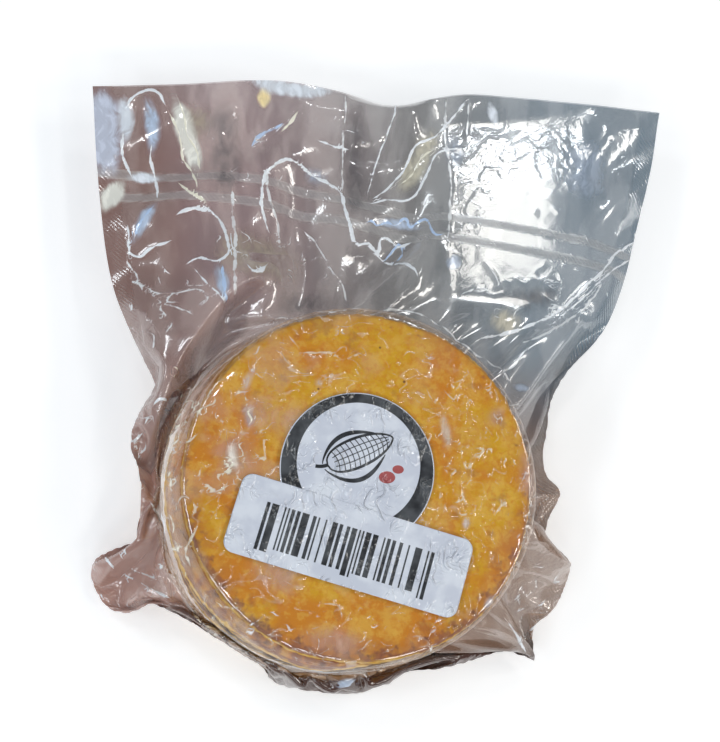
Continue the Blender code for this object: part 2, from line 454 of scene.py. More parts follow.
@dataclass(frozen=True)
class BagOutline:
    """The filled bag's edge: smooth runs that meet in corners, from the mouth round and back."""

    mouth: tuple[Point, ...] = (
        (-87.5, 146, 22), (-57, 148.5, 23), (-24, 152, 24), (3.5, 150.5, 21), (21, 146.5, 20),
        (43, 151.5, 23), (62, 152.5, 22), (109, 152, 20), (125, 151, 20),
    )
    left_side: tuple[Point, ...] = (
        (-87.5, 146, 22), (-84.5, 114.5, 21), (-78.5, 76.5, 23), (-70.5, 55.5, 24), (-61, 37, 24),
    )
    left_wing: tuple[Point, ...] = (
        (-61, 37, 24), (-67, 25.5, 24), (-68.5, 16, 24), (-65.5, 7.5, 24), (-64.5, -3, 22),
        (-66, -15, 16),
    )
    left_ear: tuple[Point, ...] = (
        (-66, -15, 16), (-73, -17, 11), (-79.5, -20.5, 7), (-80, -27.5, 6), (-74.5, -36, 6),
        (-67, -38, 10), (-60, -35, 15),
    )
    front_left: tuple[Point, ...] = (
        (-60, -35, 15), (-50, -39.5, 17), (-39, -46, 17), (-30, -51.5, 16), (-22, -56, 13),
    )
    front_fold: tuple[Point, ...] = (
        (-22, -56, 13), (-19.5, -59.5, 8), (-14, -62, 5), (-1, -64, 4), (11, -64, 4), (20, -61, 5),
        (27, -57, 10),
    )
    front_right: tuple[Point, ...] = (
        (27, -57, 10), (34, -56.5, 16), (44.5, -54.5, 16), (58, -50.5, 14), (66, -51, 8),
        (73, -53.5, 6),
    )
    right_ear: tuple[Point, ...] = (
        (73, -53.5, 6), (70.5, -42.5, 14), (76, -37.5, 16), (81, -30.5, 15), (84, -19.5, 15),
        (73.5, -12.5, 20),
    )
    right_wing: tuple[Point, ...] = (
        (73.5, -12.5, 20), (75, -5.5, 22), (79.5, 3.5, 22), (74.5, 9.5, 23), (73, 16.5, 24),
        (74.5, 23, 24),
    )
    right_side: tuple[Point, ...] = (
        (74.5, 23, 24), (77, 36, 24), (84, 47.5, 24), (97.5, 62.5, 24), (106.5, 82, 23),
        (112.5, 102, 22), (120, 127, 21), (125, 151, 20),
    )
    steps: int = 24
    order: tuple[str, ...] = (
        "left_side", "left_wing", "left_ear", "front_left", "front_fold", "front_right", "right_ear",
        "right_wing", "right_side",
    )

    def run(self, name: str) -> Array:
        """Draw one run of the edge as a smooth line.

        Args:
            name: Name of the run.

        Returns:
            Its points, with both ends.
        """
        given = np.array(getattr(self, name), float)
        padded = np.vstack([2 * given[0] - given[1], given, 2 * given[-1] - given[-2]])
        step = np.linspace(0, 1, self.steps, endpoint=False)[:, None]
        drawn = [
            b
            + 0.5 * step * (c - a)
            + step**2 * (a - 2.5 * b + 2 * c - 0.5 * d)
            + 0.5 * step**3 * (3 * b - 3 * c + d - a)
            for a, b, c, d in zip(padded, padded[1:], padded[2:], padded[3:])
        ]
        return np.vstack([*drawn, given[-1:]])

    def closed(self) -> Array:
        """Plan of the whole edge, from the mouth's left end round and back along the mouth."""
        return np.vstack([self.around()[0], self.run("mouth")[::-1]])[:, :2]

    def around(self) -> Pair:
        """The runs below the mouth as one line, left to right, and the length at each run's end."""
        runs = [self.run(name) for name in self.order]
        ends = np.cumsum([0.0] + [line_lengths(run)[-1] for run in runs])
        return np.vstack([run[:-1] for run in runs] + [runs[-1][-1:]]), ends


def line_lengths(points: Array) -> Array:
    """Length of a line up to each of its points."""
    return np.concatenate([[0.0], np.cumsum(np.linalg.norm(np.diff(points, axis=0), axis=1))])


def walk(points: Array, lengths: Array) -> Array:
    """Places at given lengths along a line."""
    along = line_lengths(points)
    return np.column_stack([np.interp(lengths, along, points[:, axis]) for axis in range(3)])


@dataclass
class PlanLimit:
    """Keeps film inside the bag's plan, by a chart of the way back from each place outside it."""

    way_back: Array
    low: Array

    @classmethod
    def of(cls, plan: Array, margin: float = 16.0) -> "PlanLimit":
        """Chart the way back to a closed line, on millimetre cells.

        Args:
            plan: The line's points.
            margin: How far outside the line the chart reaches.

        Returns:
            The chart.
        """
        low = np.floor(plan.min(0) - margin)
        across, along = (np.ceil(plan.max(0) + margin) - low).astype(int)
        spots = np.stack(np.meshgrid(np.arange(across), np.arange(along), indexing="ij"), -1) + low
        starts, ends = plan[:-1], plan[1:]
        best = np.full(spots.shape[:2], np.inf)
        way_back = np.zeros_like(spots)
        inside = np.zeros(spots.shape[:2], bool)
        for start, end in zip(starts, ends):
            run = end - start
            share = np.clip(((spots - start) @ run) / max(run @ run, TINY), 0, 1)
            step = start + share[..., None] * run - spots
            away = np.hypot(step[..., 0], step[..., 1])
            nearer = away < best
            best[nearer] = away[nearer]
            way_back[nearer] = step[nearer]
            crosses = (start[1] > spots[..., 1]) != (end[1] > spots[..., 1])
            rise = run[1] if abs(run[1]) > TINY else TINY
            inside ^= crosses & (spots[..., 0] < start[0] + (spots[..., 1] - start[1]) * run[0] / rise)
        way_back[inside] = 0.0
        return cls(way_back.astype(np.float32), low)

    def keep(self, film: Array) -> None:
        """Bring points that stray outside back to the line, in place."""
        cell = np.rint(film[..., :2] - self.low).astype(int)
        last = np.array(self.way_back.shape[:2]) - 1
        cell = np.clip(cell, 0, last)
        film[..., :2] += self.way_back[cell[..., 0], cell[..., 1]]


@dataclass(frozen=True)
class FlatCut:
    """One layer of the empty bag laid flat: straight sides up to the mouth, a round foot below."""

    mouth_half: float = 106.0
    stack_half: float = 102.0
    mouth_reach: float = 178.0
    foot_half: float = 102.0
    foot_reach: float = 94.0
    cells_across: int = 52
    cells_up: int = 44
    cells_down: int = 22
    seal_middle: float = 124.0
    seal_slope: float = 0.15
    seal_places: Spot = (-4.0, 5.0)
    seal_half: float = 1.6
    side_seam: float = 7.5

    def grid(self, level: int) -> Array:
        """Lay out the layer's points, from foot to mouth and from left to right.

        Args:
            level: How many times the 4 mm cells are halved.

        Returns:
            Flat places, rows by columns by two.
        """
        finer = 2**level
        across = np.linspace(-1, 1, self.cells_across * finer + 1)
        down = np.linspace(-1, 0, self.cells_down * finer + 1)[:-1]
        up = np.linspace(0, 1, self.cells_up * finer + 1)
        u, v = np.meshgrid(across, np.concatenate([down, up]))
        foot = np.minimum(v, 0)
        wide = self.stack_half + (self.mouth_half - self.stack_half) * np.maximum(v, 0)
        x = np.where(v < 0, self.foot_half * u * np.sqrt(1 - foot**2 / 2), u * wide)
        y = np.where(v < 0, self.foot_reach * v * np.sqrt(1 - u**2 / 2), self.mouth_reach * v)
        return np.stack([x, y], -1)

    def past_seal(self, flat: Array) -> Array:
        """How far each place lies past the middle of the heat seal, towards the mouth."""
        return flat[..., 1] - self.seal_middle + self.seal_slope * flat[..., 0]

    def in_seal(self, flat: Array) -> Array:
        """Distance of each place from the nearer of the two seal lines."""
        past = self.past_seal(flat)
        return np.minimum(*[np.abs(past - place) for place in self.seal_places])

    def from_side(self, flat: Array) -> Array:
        """Distance of each place from the side and foot edges."""
        x, y = flat[..., 0], flat[..., 1]
        side = np.minimum(np.abs(x - x[:, :1]), np.abs(x[:, -1:] - x))
        foot = (1 - np.hypot(x / self.foot_half, y / self.foot_reach)) * self.foot_reach
        return np.where(y < 0, np.minimum(side, foot), side)

    def spare(self, flat: Array) -> Array:
        """How much longer the film is than it needs to be, which makes it buckle.

        Args:
            flat: Flat places.

        Returns:
            The factor on each place's lengths.
        """
        x, y = flat[..., 0], flat[..., 1]
        flap = np.clip((y - 60) / 30, 0, 1)
        past = np.clip((self.past_seal(flat) + 6) / 10, 0, 1)
        calm = 1 - 0.7 * eased(92.0, 112.0, y)
        pleats = 0.025 * PlaneNoise(14, 5).at(x, y) + 0.03 * PlaneNoise(7, 6).at(x, y)
        fine = 0.01 * PlaneNoise(9, 9).at(x, y)
        return 1 + 0.018 * calm * (1 - 0.5 * past) + flap * calm * pleats + (1 - past) * calm * fine


# Forming the film.


@dataclass(frozen=True)
class Stage:
    """One stage of forming, on cells half the size of the stage before."""

    level: int
    rounds: int
    pressure: float
    bending: float
    keep: float


@dataclass
class Lengths:
    """The lengths that a layer's cells keep: sides, diagonals and every second side."""

    across: Array
    along: Array
    rising: Array
    falling: Array
    across_two: Array
    along_two: Array

    @classmethod
    def of(cls, flat: Array, spare: Array) -> "Lengths":
        """Measure a flat layer.

        Args:
            flat: Its places.
            spare: Factor on the lengths at each place.

        Returns:
            The lengths to keep.
        """

        def between(first: Array, second: Array, *factors: Array) -> Array:
            """Lengths from one set of places to another, times the mean factor."""
            length = np.linalg.norm(first - second, axis=-1)
            return (length * sum(factors) / len(factors)).astype(np.float32)

        return cls(
            between(flat[:, 1:], flat[:, :-1], spare[:, 1:], spare[:, :-1]),
            between(flat[1:], flat[:-1], spare[1:], spare[:-1]),
            between(flat[:-1, :-1], flat[1:, 1:], spare[1:, 1:], spare[:-1, :-1]),
            between(flat[:-1, 1:], flat[1:, :-1], spare[:-1, 1:], spare[1:, :-1]),
            between(flat[:, 2:], flat[:, :-2], spare[:, 1:-1]),
            between(flat[2:], flat[:-2], spare[1:-1]),
        )


@dataclass
class Holds:
    """What holds the layers at one stage: seams, air inside, and where their edges go."""

    seam: Array
    weld: Array
    inside: Array
    edge_rows: Array
    edge_columns: Array
    edge: Array
    mouth: Array
    limit: PlanLimit


def pull_together(first: Array, second: Array, length: Array, share: float) -> None:
    """Move two sets of points in place towards the length between them.

    Args:
        first: One end of each pair.
        second: The other end.
        length: The length to keep.
        share: How much of the error is put right.
    """
    gap = second - first
    now = np.sqrt((gap * gap).sum(-1))
    gap *= ((now - length) / np.maximum(now, TINY) * (0.5 * share))[..., None]
    first += gap
    second -= gap


def layer_normals(layer: Array) -> Array:
    """Unit normals of a grid of points.

    Args:
        layer: Points, with rows and columns on the axes before the last.

    Returns:
        One normal for each point, up where the grid runs right and then up.
    """
    across = np.gradient(layer, axis=-2)
    along = np.gradient(layer, axis=-3)
    normal = np.cross(across, along)
    return normal / np.maximum(np.linalg.norm(normal, axis=-1, keepdims=True), TINY)


def halve_cells(layers: Array) -> Array:
    """Put a new point in the middle of every side and cell of both layers."""
    rows = np.empty((2, 2 * layers.shape[1] - 1, *layers.shape[2:]), layers.dtype)
    rows[:, ::2] = layers
    rows[:, 1::2] = (layers[:, :-1] + layers[:, 1:]) / 2
    cells = np.empty((2, rows.shape[1], 2 * rows.shape[2] - 1, 3), layers.dtype)
    cells[:, :, ::2] = rows
    cells[:, :, 1::2] = (rows[:, :, :-1] + rows[:, :, 1:]) / 2
    return cells


@dataclass(frozen=True)
class FilmForming:
    """Forms both layers of film over the stack by moving their points."""

    stack: CakeStack
    outline: BagOutline
    cut: FlatCut
    stages: tuple[Stage, ...] = (
        Stage(0, 300, 0.1, 0.06, 0.9),
        Stage(1, 200, 0.06, 0.05, 0.85),
        Stage(2, 100, 0.03, 0.04, 0.8),
    )
    sweeps: int = 4
    shear: float = 0.8
    top_speed: float = 1.5
    grip: float = 0.2
    draw: float = 0.15
    draw_step: float = 0.6
    clearance: float = 0.45
    layer_gap: float = 0.35
    floor_gap: float = 0.12
    edge_pull: float = 0.35
    seam_share: float = 0.9
    seed: int = 4
    ruffle: float = 0.25
    taut: float = 0.97
    edge_height: float = 24.0
    spreading: int = 3000
    laid_from: float = 62.0
    laid_to: float = 72.0
    drawn_from: float = 58.0
    drawn_over: float = 3.0

    def form(self, stages: int) -> Array:
        """Form the bag.

        Args:
            stages: How many of the stages to run.

        Returns:
            Upper and lower layer, rows by columns by three.
        """
        draws = np.random.default_rng(self.seed)
        layers = None
        for stage in self.stages[:stages]:
            flat = self.cut.grid(stage.level)
            holds = self.holds(flat)
            layers = self.start(flat, holds) if layers is None else halve_cells(layers)
            ruffle = self.ruffle / 2**stage.level
            layers[..., 2] += ruffle * self.unevenness(layers.shape[:3], draws)
            layers = self.relax(layers.astype(np.float32), flat, stage, holds)
            LOG.info("film formed on %d by %d points", *flat.shape[:2])
        return layers

    def holds(self, flat: Array) -> Holds:
        """Work out what holds the layers.

        Args:
            flat: Flat places of the stage's points.

        Returns:
            Shares and targets for the stage.
        """
        rows, columns = flat.shape[:2]
        down = [(row, 0) for row in range(rows - 1, -1, -1)]
        across = [(0, column) for column in range(1, columns)]
        up = [(row, columns - 1) for row in range(1, rows)]
        edge_rows, edge_columns = np.array(down + across + up).T
        lengths = line_lengths(flat[edge_rows, edge_columns])
        line, ends = self.outline.around()
        whole = lengths[-1]
        last = ends[-1] - ends[-2]
        flat_marks = [0, ends[1] / self.taut, whole / 2 - 6, whole - last / self.taut, whole]
        line_marks = [0, ends[1], (ends[4] + ends[5]) / 2, ends[-2], ends[-1]]
        edge = walk(line, np.interp(lengths, flat_marks, line_marks))
        mouth_line = self.outline.run("mouth")
        share = (flat[-1, :, 0] - flat[-1, 0, 0]) / (flat[-1, -1, 0] - flat[-1, 0, 0])
        past = self.cut.past_seal(flat)
        return Holds(
            seam=np.where(self.cut.from_side(flat) < self.cut.side_seam, self.seam_share, 0.0),
            weld=np.where(self.cut.in_seal(flat) < self.cut.seal_half, self.seam_share, 0.0),
            inside=(past < 0).astype(np.float32),
            edge_rows=edge_rows,
            edge_columns=edge_columns,
            edge=edge.astype(np.float32),
            mouth=walk(mouth_line, share * line_lengths(mouth_line)[-1]).astype(np.float32),
            limit=PlanLimit.of(self.outline.closed()),
        )

    def start(self, flat: Array, holds: Holds) -> Array:
        """Lay the layers loosely over and under the stack.

        Args:
            flat: Flat places.
            holds: Where the edges go.

        Returns:
            Both layers before forming.
        """
        base = np.concatenate([flat, np.full((*flat.shape[:2], 1), self.edge_height)], -1)
        shift = np.zeros_like(base)
        held = np.zeros(flat.shape[:2], bool)
        rim = holds.edge_rows, holds.edge_columns
        held[rim] = held[-1] = True
        shift[rim] = holds.edge - base[rim]
        shift[-1] = holds.mouth - base[-1]
        for _ in range(self.spreading):
            spread = shift.copy()
            spread[1:-1, 1:-1] = (
                shift[:-2, 1:-1] + shift[2:, 1:-1] + shift[1:-1, :-2] + shift[1:-1, 2:]
            ) / 4
            spread[held] = shift[held]
            shift = spread
        base += shift
        aside = eased(self.laid_from, self.laid_to, self.stack.reach(base))
        upper, lower = base.copy(), base.copy()
        upper[..., 2] = (self.stack.height + 2) * (1 - aside) + (base[..., 2] + 1) * aside
        lower[..., 2] = (base[..., 2] - 1) * aside
        return np.stack([upper, lower])

    def unevenness(self, shape: tuple[int, ...], draws: np.random.Generator) -> Array:
        """Small random heights that let the film choose its folds.

        Args:
            shape: Size of the array.
            draws: Where the random numbers come from.

        Returns:
            Heights with a spread of one.
        """
        rough = draws.standard_normal(shape)
        rough[1:-1] = (rough[:-2] + rough[2:] + 2 * rough[1:-1]) / 4
        rough[:, 1:-1] = (rough[:, :-2] + rough[:, 2:] + 2 * rough[:, 1:-1]) / 4
        return rough / rough.std()

    def relax(self, film: Array, flat: Array, stage: Stage, holds: Holds) -> Array:
        """Run one stage.

        Args:
            film: Both layers.
            flat: Their flat places.
            stage: The stage's settings.
            holds: What holds the layers.

        Returns:
            Both layers after the stage.
        """
        lengths = Lengths.of(flat, self.cut.spare(flat))
        pressure = (holds.inside * stage.pressure)[None, :, :, None]
        share = (1 - (1 - holds.seam) * (1 - holds.weld)).astype(np.float32)[None, :, :, None]
        before = film.copy()
        for turn in range(stage.rounds):
            drift = (film - before) * stage.keep
            speed = np.sqrt((drift * drift).sum(-1, keepdims=True))
            drift *= np.minimum(1.0, self.top_speed / np.maximum(speed, TINY))
            before = film.copy()
            film = film + drift
            if turn % 2 == 0:
                outward = layer_normals(film)
                outward[1] *= -1
            film -= outward * pressure
            self.draw_layers(film, holds)
            for _ in range(self.sweeps):
                self.keep_lengths(film, lengths, stage.bending)
                film += (film.mean(0) - film) * share
                self.keep_apart(film)
                self.rest_on_stack(film, before)
                self.hold_edges(film, holds)
        return film

    def draw_layers(self, film: Array, holds: Holds) -> None:
        """Suck the two layers together beside the stack.

        Args:
            film: Both layers, moved in place.
            holds: What holds the layers.
        """
        gap = film[1] - film[0]
        wide = np.sqrt((gap * gap).sum(-1))
        away = np.clip((self.stack.reach(film).mean(0) - self.drawn_from) / self.drawn_over, 0, 1)
        share = self.draw * away * holds.inside * np.clip(wide - self.layer_gap, 0, 1)
        step = np.minimum(share * wide, self.draw_step) / np.maximum(wide, TINY)
        film[0] += gap * step[..., None] * 0.5
        film[1] -= gap * step[..., None] * 0.5

    def keep_lengths(self, film: Array, lengths: Lengths, bending: float) -> None:
        """Put the film's lengths right once, in sets of pairs that share no point.

        Args:
            film: Both layers, moved in place.
            lengths: The lengths to keep.
            bending: How stiffly the film resists folding.
        """
        for odd in (0, 1):
            pull_together(film[:, :, odd:-1:2], film[:, :, odd + 1 :: 2], lengths.across[:, odd::2], 1.0)
        for odd in (0, 1):
            pull_together(film[:, odd:-1:2], film[:, odd + 1 :: 2], lengths.along[odd::2], 1.0)
        for odd in (0, 1):
            near, far = film[:, odd:-1:2], film[:, odd + 1 :: 2]
            pull_together(near[:, :, :-1], far[:, :, 1:], lengths.rising[odd::2], self.shear)
            pull_together(near[:, :, 1:], far[:, :, :-1], lengths.falling[odd::2], self.shear)
        for first in (2, 3, 0, 1):
            near, far = film[:, :, first:-2:4], film[:, :, first + 2 :: 4]
            pull_together(near, far, lengths.across_two[:, first::4], bending)
            near, far = film[:, first:-2:4], film[:, first + 2 :: 4]
            pull_together(near, far, lengths.along_two[first::4], bending)

    def keep_apart(self, film: Array) -> None:
        """Keep the upper layer above the lower."""
        short = np.maximum(self.layer_gap - film[0, :, :, 2] + film[1, :, :, 2], 0) * 0.5
        film[0, :, :, 2] += short
        film[1, :, :, 2] -= short

    def rest_on_stack(self, film: Array, before: Array) -> None:
        """Lift the layers off the cakes and the table, with some grip where they touch.

        Args:
            film: Both layers, moved in place.
            before: Where they were at the round's start.
        """
        free = film.copy()
        self.stack.push_out(film, self.clearance)
        push = film - free
        size = np.sqrt((push * push).sum(-1, keepdims=True))
        out = push / np.maximum(size, TINY)
        slide = film - before
        slide -= out * (slide * out).sum(-1, keepdims=True)
        film -= slide * (self.grip * (size > TINY))
        np.maximum(film[..., 2], self.floor_gap, out=film[..., 2])

    def hold_edges(self, film: Array, holds: Holds) -> None:
        """Ease the edges towards the outline and the mouth open by a hair."""
        edge = film[:, holds.edge_rows, holds.edge_columns]
        film[:, holds.edge_rows, holds.edge_columns] += (holds.edge - edge) * self.edge_pull
        lift = np.array([0, 0, 0.5], np.float32)
        film[0, -1] += (holds.mouth + lift - film[0, -1]) * self.edge_pull
        film[1, -1] += (holds.mouth - lift - film[1, -1]) * self.edge_pull
        holds.limit.keep(film)


# Labels' places.


@dataclass(frozen=True)
class RoundPlace:
    """Where the round label lies."""

    centre: Spot
    radius: float

    def outside(self, x: Array, y: Array) -> Array:
        """Distance of each place outside the label, less than 0 on it."""
        return np.hypot(x - self.centre[0], y - self.centre[1]) - self.radius


@dataclass(frozen=True)
class BarPlace:
    """Where the bar label lies, how long and tall it is and how far it is turned."""

    centre: Spot
    long: float = 76.0
    tall: float = 25.4
    corner: float = 3.5
    turn: float = math.radians(-16.0)

    def inwards(self, x: Array, y: Array) -> Pair:
        """Turn places in plan into the label's own right and up."""
        cosine, sine = math.cos(self.turn), math.sin(self.turn)
        right, up = x - self.centre[0], y - self.centre[1]
        return right * cosine + up * sine, up * cosine - right * sine

    def outwards(self, right: Array, up: Array) -> Pair:
        """Turn the label's own right and up into places in plan."""
        cosine, sine = math.cos(self.turn), math.sin(self.turn)
        return (
            self.centre[0] + right * cosine - up * sine,
            self.centre[1] + right * sine + up * cosine,
        )

    def outside(self, x: Array, y: Array) -> Array:
        """Distance of each place outside the label, less than 0 on it."""
        right, up = self.inwards(x, y)
        past_long = np.abs(right) - (self.long / 2 - self.corner)
        past_tall = np.abs(up) - (self.tall / 2 - self.corner)
        past = np.hypot(np.maximum(past_long, 0), np.maximum(past_tall, 0))
        return past + np.minimum(np.maximum(past_long, past_tall), 0) - self.corner


@dataclass(frozen=True)
class LabelBed:
    """The gently crinkled film under the labels, which both of them follow."""

    round_place: RoundPlace
    bar_place: BarPlace
    top: float
    crinkle: float = 0.07
    thickness: float = 0.1
    step: float = 0.14
    print_lift: float = 0.035

    @classmethod
    def from_frame(cls) -> "LabelBed":
        """Take the labels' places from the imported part."""
        round_low, round_high = (in_mm(corner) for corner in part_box(ROUND_LABEL))
        bar_low, bar_high = (in_mm(corner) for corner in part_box(BAR_LABEL))
        round_middle, bar_middle = (round_low + round_high) / 2, (bar_low + bar_high) / 2
        radius = (round_high[0] - round_low[0]) / 2
        return cls(
            RoundPlace((round_middle[0], round_middle[1]), radius),
            BarPlace((bar_middle[0], bar_middle[1])),
            round_high[2] + 0.05,
        )

    def height(self, x: Array, y: Array, floor: int) -> Array:
        """Height of the paper on floor 0, the round label, or on floor 1, the bar label."""
        waves = PlaneNoise(7.0, 21).at(x, y) + 0.5 * PlaneNoise(3.6, 22).at(x, y)
        return self.top + self.crinkle * waves + self.step * floor

    def outside(self, x: Array, y: Array) -> Array:
        """Distance of each place from the nearer label."""
        return np.minimum(self.round_place.outside(x, y), self.bar_place.outside(x, y))

    def flatten(self, points: Array) -> None:
        """Press film under the labels, in place."""
        x, y = points[..., 0], points[..., 1]
        above = points[..., 2] > self.top - 5.0
        under = (self.outside(x, y) < 0.5) & above
        limit = self.height(x, y, 0) - self.thickness - 0.06
        points[..., 2] = np.where(under, np.minimum(points[..., 2], limit), points[..., 2])


# Film pieces.


class Layer(Enum):
    """The bag's two layers, with the piece that each becomes."""

    UPPER = "film_upper"
    LOWER = "film_lower"


def resample(grid: Array, count: int, axis: int) -> Array:
    """Read a grid of values at a new number of even steps, along smooth curves.

    Args:
        grid: Values.
        count: How many steps to read.
        axis: Which axis they run along.

    Returns:
        The finer or coarser grid.
    """
    grid = np.moveaxis(grid, axis, 0)
    last = grid.shape[0] - 1
    where = np.linspace(0, last, count)
    start = np.minimum(where.astype(int), last - 1)
    step = (where - start).reshape(-1, *[1] * (grid.ndim - 1))
    a, b, c, d = (grid[np.clip(start + shift, 0, last)] for shift in (-1, 0, 1, 2))
    curve = 0.5 * step * (c - a) + step**2 * (a - 2.5 * b + 2 * c - 0.5 * d)
    return np.moveaxis(b + curve + 0.5 * step**3 * (3 * b - 3 * c + d - a), 0, axis)


def beside(line: Sequence[Spot], reach: float, x: Array, y: Array) -> tuple[Array, Array, Array, float]:
    """Measure places against a smooth line through a few spots.

    Args:
        line: The spots.
        reach: How far from the line places are measured.
        x: Places in plan.
        y: Places in plan.

    Returns:
        Which places are close, how far each of them lies to the line's left, how far along
        it, and the line's length.
    """
    path = resample(np.array(line, float), 4 * len(line), 0)
    low, high = path.min(0) - reach, path.max(0) + reach
    close = (x > low[0]) & (x < high[0]) & (y > low[1]) & (y < high[1])
    near_x, near_y = x[close], y[close]
    aside, along, so_far = np.full(near_x.shape, np.inf), np.zeros(near_x.shape), 0.0
    for start, end in zip(path, path[1:]):
        run = end - start
        size = max(math.hypot(*run), TINY)
        right, up = near_x - start[0], near_y - start[1]
        share = np.clip((right * run[0] + up * run[1]) / size**2, 0, 1)
        away = np.hypot(right - share * run[0], up - share * run[1])
        away = np.copysign(away, run[0] * up - run[1] * right)
        nearer = np.abs(away) < np.abs(aside)
        along = np.where(nearer, so_far + share * size, along)
        aside = np.where(nearer, away, aside)
        so_far += size
    return close, aside, along, so_far


class Tint(Enum):
    """Colour of a broad painted gleam in the film, and how much of it shows at the middle. WHITE to TAN are
    painted reflections, MILKY is a milky patch and DARK is painted shade.
    """

    WHITE = ((0.80, 0.84, 0.90), 0.60)
    CREAM = ((0.86, 0.84, 0.76), 0.70)
    BLUE = ((0.50, 0.59, 0.74), 0.50)
    GOLD = ((1.0, 0.80, 0.42), 0.75)
    # A painted bluish reflection of the surroundings.
    SKY_SHEEN = ((0.36, 0.43, 0.54), 0.30)
    BRIGHT = ((0.60, 0.63, 0.74), 0.52)
    PALE = ((0.60, 0.55, 0.42), 0.40)
    TAN = ((0.38, 0.30, 0.22), 0.36)
    MILKY = ((0.72, 0.48, 0.38), 0.50)
    DARK = ((0.06, 0.05, 0.055), 0.26)


@dataclass(frozen=True)
class Gleam:
    """A broad soft painted gleam: a painted reflection, painted shade or milky patch, with what it shows,
    how wide it is and where it runs in plan.
    """

    tint: Tint
    width: float
    line: tuple[Spot, ...]
    taper: float = 14.0

    def strength(self, x: Array, y: Array) -> Array:
        """Read how strongly it shows.

        Args:
            x: Places in plan.
            y: Places in plan.

        Returns:
            The share at each place, 1 along its middle.
        """
        reach = 0.7 * self.width
        close, aside, along, long = beside(self.line, reach, x, y)
        ends = eased(0.0, min(self.taper, long / 2), np.minimum(along, long - along))
        result = np.zeros(x.shape)
        result[close] = ends * (1 - np.clip(np.abs(aside) / (reach * (0.5 + 0.5 * ends)), 0, 1) ** 2) ** 2
        return result


class Shine(Enum):
    """Warmth of a crease's painted highlight line, from blue at 0 to cream at 1, and how strongly it shows.
    """

    BLUE = (0.0, 0.60)
    WHITE = (0.5, 0.90)
    FAINT = (0.6, 0.42)
    CREAM = (1.0, 0.72)


@dataclass(frozen=True)
class Crease:
    """A sharp fold, raised a little in the film, with a painted highlight along it as a thin line."""

    shine: Shine
    width: float
    line: tuple[Spot, ...]
    taper: float = 4.0


def drawn(kind: type, look: Tint | Shine, *marks: tuple) -> tuple:
    """Painted gleams or creases of one look, each from its width and the spots of its line."""
    return tuple(kind(look, width, tuple(spots)) for width, *spots in marks)


@dataclass(frozen=True)
class Crinkles:
    """Short wavy creases, each with a painted highlight line, strewn over a round or oval stretch of film.
    """

    shine: Shine
    middle: Spot
    half: Spot
    count: int
    lean: float
    seed: int
    length: Spot = (2.5, 8.0)
    width: Spot = (0.5, 1.1)
    spread: float = 0.4
    bend: float = 0.22

    def creases(self) -> list[Crease]:
        """Strew them, the same way on every run."""
        draws = np.random.default_rng(self.seed)
        made = []
        for _ in range(self.count):
            turn, out = draws.uniform(0, 2 * math.pi), math.sqrt(draws.uniform())
            middle = np.array(self.middle) + out * np.array(self.half) * (math.cos(turn), math.sin(turn))
            lean = math.radians(self.lean) + draws.normal(0, self.spread)
            along = np.array([math.cos(lean), math.sin(lean)]) * draws.uniform(*self.length)
            aside = np.array([-along[1], along[0]])
            bends = draws.normal(0, self.bend, 4)
            spots = [middle + along * (step - 1.5) / 3 + aside * bends[step] for step in range(4)]
            line = tuple((float(spot[0]), float(spot[1])) for spot in spots)
            made.append(Crease(self.shine, draws.uniform(*self.width), line))
        return made


